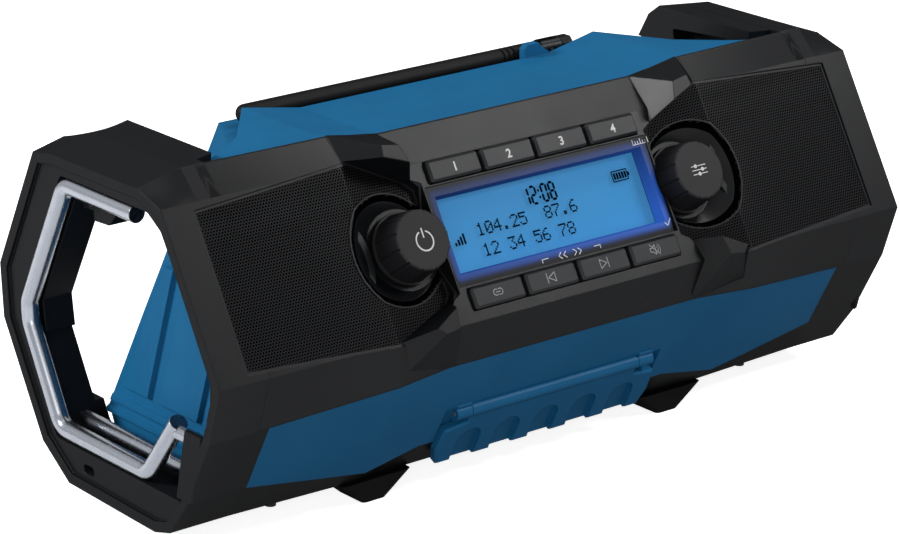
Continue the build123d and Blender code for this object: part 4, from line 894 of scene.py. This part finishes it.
@dataclass
class DisplayFace:
    """What shows in the display's window.

    Args:
        figure: Width, height and stroke of the clock's figures.
        clock_v: Height of the clock's middle on the front.
        clock: The clock's figures and their places along the front.
        meter: The charge meter's outline: left, lower, right and upper side.
        lines: The lines of figures and their lower left corners.
        pitch: Distance from dot to dot in these lines.
        bars: Lower left corner of the reception meter.
        flare: How far the painted glow walls open to the sides, below and above.
        rim: Height of the glow walls' outer edge.
        guide_wall: Thickness of the walls that carry the painted glow.
    """

    figure: Triple = (2.7, 7.4, 1.1)
    clock_v: float = 46.4
    clock: tuple[tuple[str, float], ...] = (("1", -7.2), ("2", -3.0), ("0", 3.0), ("8", 7.2))
    meter: tuple[float, float, float, float] = (40.6, 43.4, 49.0, 47.9)
    lines: tuple[tuple[str, Point2], ...] = (
        ("104.25  87.6", (-37.0, 35.6)), ("12 34 56 78", (-37.0, 26.6)),
    )
    pitch: float = 0.80
    bars: Point2 = (-50.2, 33.4)
    flare: Triple = (1.2, 1.1, 1.2)
    rim: float = -1.92
    guide_wall: float = 0.3

    def build(self) -> Pieces:
        """Builds the display's visible parts.

        Returns:
            The pieces.
        """
        content = self.clock_face() + self.charge_meter()
        for text, (u, v) in self.lines:
            content += moved(dot_line(text, self.pitch), u, v)
        content += self.reception_meter()
        return [
            printed("display_segments", content, (0, 0, LENS_W + 0.02), Look.DARK_PRINT,
                    "housing", 0.03),
            # Sloped walls round the lens, painted with a glow that stands in for the display's light
            # falling on them
            new_object("light_guide", self.light_guide(), Look.CONSOLE, "housing"),
        ]

    def clock_face(self) -> list[Poly]:
        """Draws the clock's figures and the colon between them.

        Returns:
            Their polygons.
        """
        made: list[Poly] = []
        for char, u in self.clock:
            made += moved(seven_segment(char, *self.figure), u, self.clock_v)
        dot = box(-0.5, -0.5, 0.5, 0.5)
        return made + moved([dot], 0, self.clock_v - 1.5) + moved([dot], 0, self.clock_v + 1.5)

    def charge_meter(self) -> list[Poly]:
        """Draws a cell with its cap and five bars of charge.

        Returns:
            Its polygons.
        """
        x0, y0, x1, y1 = self.meter
        made = stroke([(x0, y0), (x1, y0), (x1, y1), (x0, y1), (x0, y0)], 0.5)
        made.append(box(x1, y0 + 1.4, x1 + 1.1, y1 - 1.4))
        for i in range(5):
            left = x0 + 0.7 + i * 1.5
            made.append(box(left, y0 + 0.8, left + 1.1, y1 - 0.8))
        return made

    def reception_meter(self) -> list[Poly]:
        """Draws four rising bars."""
        u, v = self.bars
        return [box(u + i * 1.6, v, u + i * 1.6 + 1.0, v + 1.4 + i * 1.1) for i in range(4)]

    def light_guide(self) -> Mesh:
        """Makes the sloped walls from the lens up to the console's face, which carry the painted glow
        of the display's light.

        Returns:
            The mesh.
        """
        u0, v0, u1, v1 = LENS
        side, down, up = self.flare
        inner, outer = box(u0, v0, u1, v1), box(u0 - side, v0 - down, u1 + side, v1 + up)
        wall = self.guide_wall
        bm = bmesh.new()
        loops = [
            [bm.verts.new(front(x, y, w)) for x, y in outline]
            for outline, w in ((inner, LENS_W), (outer, self.rim), (outer, self.rim - wall),
                               (inner, LENS_W - wall))
        ]
        for k, a in enumerate(loops):
            b = loops[(k + 1) % len(loops)]
            for i in range(len(inner)):
                j = (i + 1) % len(inner)
                bm.faces.new((a[i], a[j], b[j], b[i]))
        return closed(bm, "walls")


# ---- speaker grilles
class Growth(Writer):
    """Writes a Geometry Nodes tree that grows something on each point of a cloud."""

    def __init__(self, name: str) -> None:
        """Starts a tree with geometry in and out.

        Args:
            name: Name of the tree.
        """
        super().__init__(bpy.data.node_groups.new(name, "GeometryNodeTree"))
        for way in ("INPUT", "OUTPUT"):
            self.tree.interface.new_socket("Geometry", in_out=way,
                                           socket_type="NodeSocketGeometry")
        self.source = self.tree.nodes.new("NodeGroupInput")
        self.sink = self.tree.nodes.new("NodeGroupOutput")

    def size(self, name: str) -> Socket:
        """Adds a named size to the tree's inputs and gives its socket inside."""
        self.tree.interface.new_socket(name, in_out="INPUT", socket_type="NodeSocketFloat")
        return self.source.outputs[name]

    def joined(self, *parts: Socket) -> Socket:
        """Joins geometry."""
        return self.add("GeometryNodeJoinGeometry", {"Geometry": list(parts)}).outputs["Geometry"]

    def close(self, geometry: Socket, look: Look) -> None:
        """Ends the tree with real geometry and its material.

        Args:
            geometry: What the tree makes.
            look: Its finish.
        """
        real = self.add("GeometryNodeRealizeInstances", {"Geometry": geometry})
        dressed = self.add("GeometryNodeSetMaterial", {"Geometry": real.outputs["Geometry"],
                                                       "Material": finish(look)})
        self.tree.links.new(dressed.outputs["Geometry"], self.sink.inputs["Geometry"])

    def grow(self, name: str, points: Sequence[Triple], sizes: dict[str, float]) -> Mesh:
        """Runs the tree on a cloud of points.

        Args:
            name: Name of the mesh.
            points: The points, in the tree's own units.
            sizes: Named inputs to set.

        Returns:
            The mesh.
        """
        cloud = bpy.data.meshes.new(name)
        cloud.from_pydata(points, [], [])
        obj = bpy.data.objects.new(name, cloud)
        modifier = obj.modifiers.new("grow", "NODES")
        modifier.node_group = self.tree
        for item in self.tree.interface.items_tree:
            if item.in_out == "INPUT" and item.name in sizes:
                modifier[item.identifier] = sizes[item.name]
        return as_mesh(obj, name)


@dataclass
class SpeakerGrille:
    """A perforated sheet over a speaker, with staggered round holes.

    Args:
        side: 1 for the right grille, -1 for the left one.
        pitch: Distance from hole to hole in millimetres.
        hole: Radius of a hole.
        thick: Thickness of the sheet.
        rim: Width of the border without holes.
        band: Width of the flat strip that covers its edge.
        strip: About the length of that strip's quads.
        lifts: Heights of the sheet and the strip over the grille's own face.
        slope: Distances from the middle between which the sheet rises.
        low: Height of the dark sheet below it at the lower end of the rise.
        climb: How far it rises.
        start: Corner of the field of holes, before it is cut to the outline.
        extent: Size of that field.
        outline: Outline of the right grille on the front.
    """

    side: int
    pitch: float = 1.42
    hole: float = 0.46
    thick: float = 0.35
    rim: float = 1.0
    band: float = 1.1
    strip: float = 3.0
    lifts: Span = (0.02, 0.06)
    slope: Span = (66.0, 97.3)
    low: float = -7.1
    climb: float = 5.5
    start: Point2 = (61.0, -4.0)
    extent: Span = (112.0, 84.0)
    outline: tuple[Point2, ...] = (
        (171.5, 3.8), (171.5, 72.0), (93.3, 77.3), (66.5, 65.0), (62.0, 60.5), (62.0, 14.5),
        (66.5, 9.0), (93.3, -1.6),
    )

    def height(self, u: float) -> float:
        """Gives the height of the dark sheet below at u millimetres from the radio's middle."""
        u0, u1 = self.slope
        return self.low + min(max((u - u0) / (u1 - u0), 0.0), 1.0) * self.climb

    def dish(self, u: float) -> float:
        """Gives the radius of the knob's dish where it meets the sheet's height at u."""
        return DISH_R + (self.height(u) - DISH_W) * DISH_FLARE

    def hidden(self, u: float, v: float) -> bool:
        """Tells whether the knob's dish takes a place on the front, so that no sheet is there."""
        return math.hypot(u - KNOB_U, v - KNOB_V) < self.dish(u)

    def tree(self) -> Growth:
        """Writes the tree that sets one holed cell on each point.

        Returns:
            The tree.
        """
        t = Growth("perforation")
        hole, cell, thick = t.size("hole"), t.size("cell"), t.size("thick")
        outer = t.add("GeometryNodeMeshCircle", {"Vertices": 6, "Radius": cell}, fill_type="NONE")
        inner = t.add("GeometryNodeMeshCircle", {"Vertices": 12, "Radius": hole}, fill_type="NONE")
        turned = t.add("GeometryNodeTransform", {"Geometry": outer.outputs["Mesh"],
                                                 "Rotation": (0, 0, math.radians(30))})
        curves = [t.add("GeometryNodeMeshToCurve", {"Mesh": mesh}).outputs["Curve"]
                  for mesh in (turned.outputs["Geometry"], inner.outputs["Mesh"])]
        flat = t.add("GeometryNodeFillCurve", {"Curve": t.joined(*curves)})
        wall = t.add("GeometryNodeExtrudeMesh", {
            "Mesh": inner.outputs["Mesh"], "Offset": (0, 0, -1), "Offset Scale": thick},
            mode="EDGES")
        spread = t.add("GeometryNodeInstanceOnPoints", {
            "Points": t.source.outputs["Geometry"],
            "Instance": t.joined(flat.outputs["Mesh"], wall.outputs["Mesh"])})
        t.close(spread.outputs["Instances"], Look.GRILLE)
        return t

    def holes(self) -> list[Triple]:
        """Lays out the staggered holes.

        Returns:
            Their middles on the front.
        """
        cu, cv = (sum(axis) / len(self.outline) for axis in zip(*self.outline))
        step = self.pitch * math.sqrt(3) / 2
        made = []
        for row in range(int(self.extent[1] / step)):
            v = self.start[1] + row * step
            for col in range(int(self.extent[0] / self.pitch)):
                u = self.start[0] + (col + 0.5 * (row % 2)) * self.pitch
                du, dv = cu - u, cv - v
                far = math.hypot(du, dv) or 1.0
                edge = (u - du / far * self.rim, v - dv / far * self.rim)
                if inside(self.outline, *edge) and not self.hidden(u, v):
                    made.append((u, v, 0.0))
        return made

    def inset(self) -> list[Point2]:
        """Moves the outline's corners in by the strip's width.

        Returns:
            The new corners.
        """
        count = len(self.outline)
        made: list[Point2] = []
        for k in range(count):
            (xa, ya), (xb, yb), (xc, yc) = (self.outline[(k + i) % count] for i in (-1, 0, 1))
            a, b = math.hypot(xb - xa, yb - ya), math.hypot(xc - xb, yc - yb)
            n = ((ya - yb) / a, (xb - xa) / a), ((yb - yc) / b, (xc - xb) / b)
            s = self.band / (1 + n[0][0] * n[1][0] + n[0][1] * n[1][1])
            made.append((xb + (n[0][0] + n[1][0]) * s, yb + (n[0][1] + n[1][1]) * s))
        return made

    def edge_strip(self) -> list[Poly]:
        """Draws the strip along the outline, apart from where the dish cuts it.

        Returns:
            Its quads.
        """
        made: list[Poly] = []
        count, inner = len(self.outline), self.inset()
        for k in range(count):
            a, b = self.outline[k], self.outline[(k + 1) % count]
            c, d = inner[(k + 1) % count], inner[k]
            steps = max(1, round(math.hypot(b[0] - a[0], b[1] - a[1]) / self.strip))
            for i in range(steps):
                quad = [tuple(p + (q - p) * t for p, q in zip(*ends))
                        for ends, t in (((a, b), i / steps), ((a, b), (i + 1) / steps),
                                        ((d, c), (i + 1) / steps), ((d, c), i / steps))]
                if not any(self.hidden(*spot) for spot in quad):
                    made.append(quad)
        return made

    def dish_strip(self) -> list[Poly]:
        """Draws the strip round the dish, whose radius grows with the sheet's height.

        Returns:
            Its quads.
        """
        spots: list[tuple[Point2, Point2]] = []
        for degrees in range(0, 361, 3):
            turn, far = math.radians(degrees), 20.0
            for _ in range(12):  # from the first try the radius settles to under a micron
                far = self.dish(KNOB_U + far * math.cos(turn))
            spots.append(tuple((KNOB_U + r * math.cos(turn), KNOB_V + r * math.sin(turn))
                               for r in (far, far + self.band * 0.6)))
        return [[a, b, c, d] for (a, b), (d, c) in zip(spots, spots[1:])
                if all(inside(self.outline, *spot) for spot in (a, b, c, d))]

    def laid(self, mesh: Mesh, lift: float) -> Mesh:
        """Lays a flat mesh on the sheet and turns it over for the left grille.

        Args:
            mesh: The mesh, flat and in millimetres.
            lift: Its height over the grille.

        Returns:
            The same mesh in its place.
        """
        for vert in mesh.vertices:
            u, v, w = vert.co
            vert.co = front(self.side * u, v, self.height(u) + self.thick + lift + w)
        if self.side < 0:
            mesh.flip_normals()
        return mesh

    def build(self) -> Pieces:
        """Builds the perforated sheet and its plain border.

        Returns:
            The pieces.
        """
        holed = self.tree().grow(f"grille_{self.side}", self.holes(), {
            "hole": self.hole, "cell": self.pitch / math.sqrt(3) * 1.001, "thick": self.thick})
        border = slabs("border", self.edge_strip() + self.dish_strip(), 0.0, self.thick,
                       lambda x, y, z: Vector((x, y, z)))
        name = "right" if self.side > 0 else "left"
        return [
            new_object(f"{name}_perforation", self.laid(holed, self.lifts[0]), Look.GRILLE, "housing"),
            new_object(f"{name}_border", self.laid(border, self.lifts[1]), Look.GRILLE, "housing"),
        ]


# ---- studio
@dataclass(frozen=True)
class Studio:
    """The camera, the lamps, the floor and the world.

    Args:
        eye: Where the camera stands, in metres.
        ahead: Its line of sight.
        right: Its right-hand direction.
        focal: Its focal length on a 36 mm sensor.
        aim: The point that the lamps shine at.
        lamps: Name, place, side and power in watts of each lamp.
        sky: Colour of the light all round.
        sky_power: Its strength.
        paper: Colour of the floor as the radio's surroundings.
        floor_lift: Light that the floor adds where it is looked at.
        floor_size: Half the side of the floor.
    """

    eye: Triple = (-0.9151, -1.14225, 0.5726)
    ahead: Triple = (0.5872, 0.7430, -0.3211)
    right: Triple = (0.7832, -0.6217, -0.0063)
    focal: float = 141.76
    aim: Triple = (0.0, 0.0, 0.08)
    lamps: tuple[tuple[str, Triple, float, float], ...] = (
        ("key", (-0.2, 0.3, 1.5), 0.7, 1.8),
        ("fill", (-1.1, -1.25, 0.42), 0.8, 8.5),
        ("side", (0.74, -0.68, 0.82), 0.3, 6.0),
        ("over", (0.80, -0.10, 1.25), 0.3, 5.0),
        ("rim", (-1.02, 0.42, 0.70), 0.26, 11.0),
    )
    sky: str = "E9EDF2"
    sky_power: float = 0.12
    paper: str = "8A8C90"
    floor_lift: float = 0.85
    floor_size: float = 6.0

    def build(self) -> None:
        """Sets up everything round the radio."""
        bpy.context.scene.view_settings.view_transform = "Standard"
        self.camera()
        self.light()
        self.world()
        self.floor()

    def camera(self) -> None:
        """Sets up the camera."""
        data = bpy.data.cameras.new("camera")
        data.sensor_width, data.lens = 36.0, self.focal
        data.clip_start, data.clip_end = 0.05, 50.0
        camera = bpy.data.objects.new("camera", data)
        ahead, right = Vector(self.ahead).normalized(), Vector(self.right).normalized()
        up = right.cross(ahead).normalized()
        turn = Matrix((right, up, -ahead)).transposed().to_4x4()
        camera.matrix_world = Matrix.Translation(self.eye) @ turn
        bpy.context.scene.collection.objects.link(camera)
        bpy.context.scene.camera = camera

    def light(self) -> None:
        """Sets up the soft square lamps."""
        for name, spot, size, power in self.lamps:
            data = bpy.data.lights.new(name, "AREA")
            data.shape, data.size, data.energy = "SQUARE", size, power
            lamp = bpy.data.objects.new(name, data)
            lamp.location = spot
            lamp.rotation_mode = "QUATERNION"
            way = Vector(self.aim) - Vector(spot)
            lamp.rotation_quaternion = way.to_track_quat("-Z", "Y")
            bpy.context.scene.collection.objects.link(lamp)

    def world(self) -> None:
        """Sets up the light all round, with a white ground to look at."""
        world = bpy.data.worlds.new("studio")
        bpy.context.scene.world = world
        n = Shader(world, "ShaderNodeOutputWorld")
        seen = n.add("ShaderNodeBackground", {"Color": (1, 1, 1, 1), "Strength": 1.0})
        light = n.add("ShaderNodeBackground", {"Color": linear(self.sky),
                                               "Strength": self.sky_power})
        n.surface(n.mixed(n.seen_rays(), light, seen))

    def floor(self) -> None:
        """Lays the floor, white to look at and grey to the radio."""
        bm = bmesh.new()
        bmesh.ops.create_grid(bm, x_segments=1, y_segments=1, size=self.floor_size)
        mesh = bpy.data.meshes.new("floor")
        bm.to_mesh(mesh)
        bm.free()
        floor = bpy.data.objects.new("floor", mesh)
        bpy.context.scene.collection.objects.link(floor)
        n = Shader(bpy.data.materials.new("floor_paper"))
        white = n.add("ShaderNodeBsdfDiffuse", {"Color": linear("FFFFFF")})
        lift = n.add("ShaderNodeEmission", {"Color": (1, 1, 1, 1), "Strength": self.floor_lift})
        seen = n.add("ShaderNodeAddShader", {0: white.outputs["BSDF"], 1: lift.outputs["Emission"]})
        dim = n.add("ShaderNodeBsdfDiffuse", {"Color": linear(self.paper)})
        mesh.materials.append(n.surface(n.mixed(n.seen_rays(), dim, seen)))


def main() -> None:
    """Builds the dressed radio and the studio round it."""
    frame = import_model()
    dress(frame)
    for part in (ControlMarks(), DisplayFace(), SpeakerGrille(-1), SpeakerGrille(1)):
        part.build()
    Studio().build()


if __name__ == "__main__":
    logging.basicConfig(level=logging.INFO, format="%(message)s")
    main()
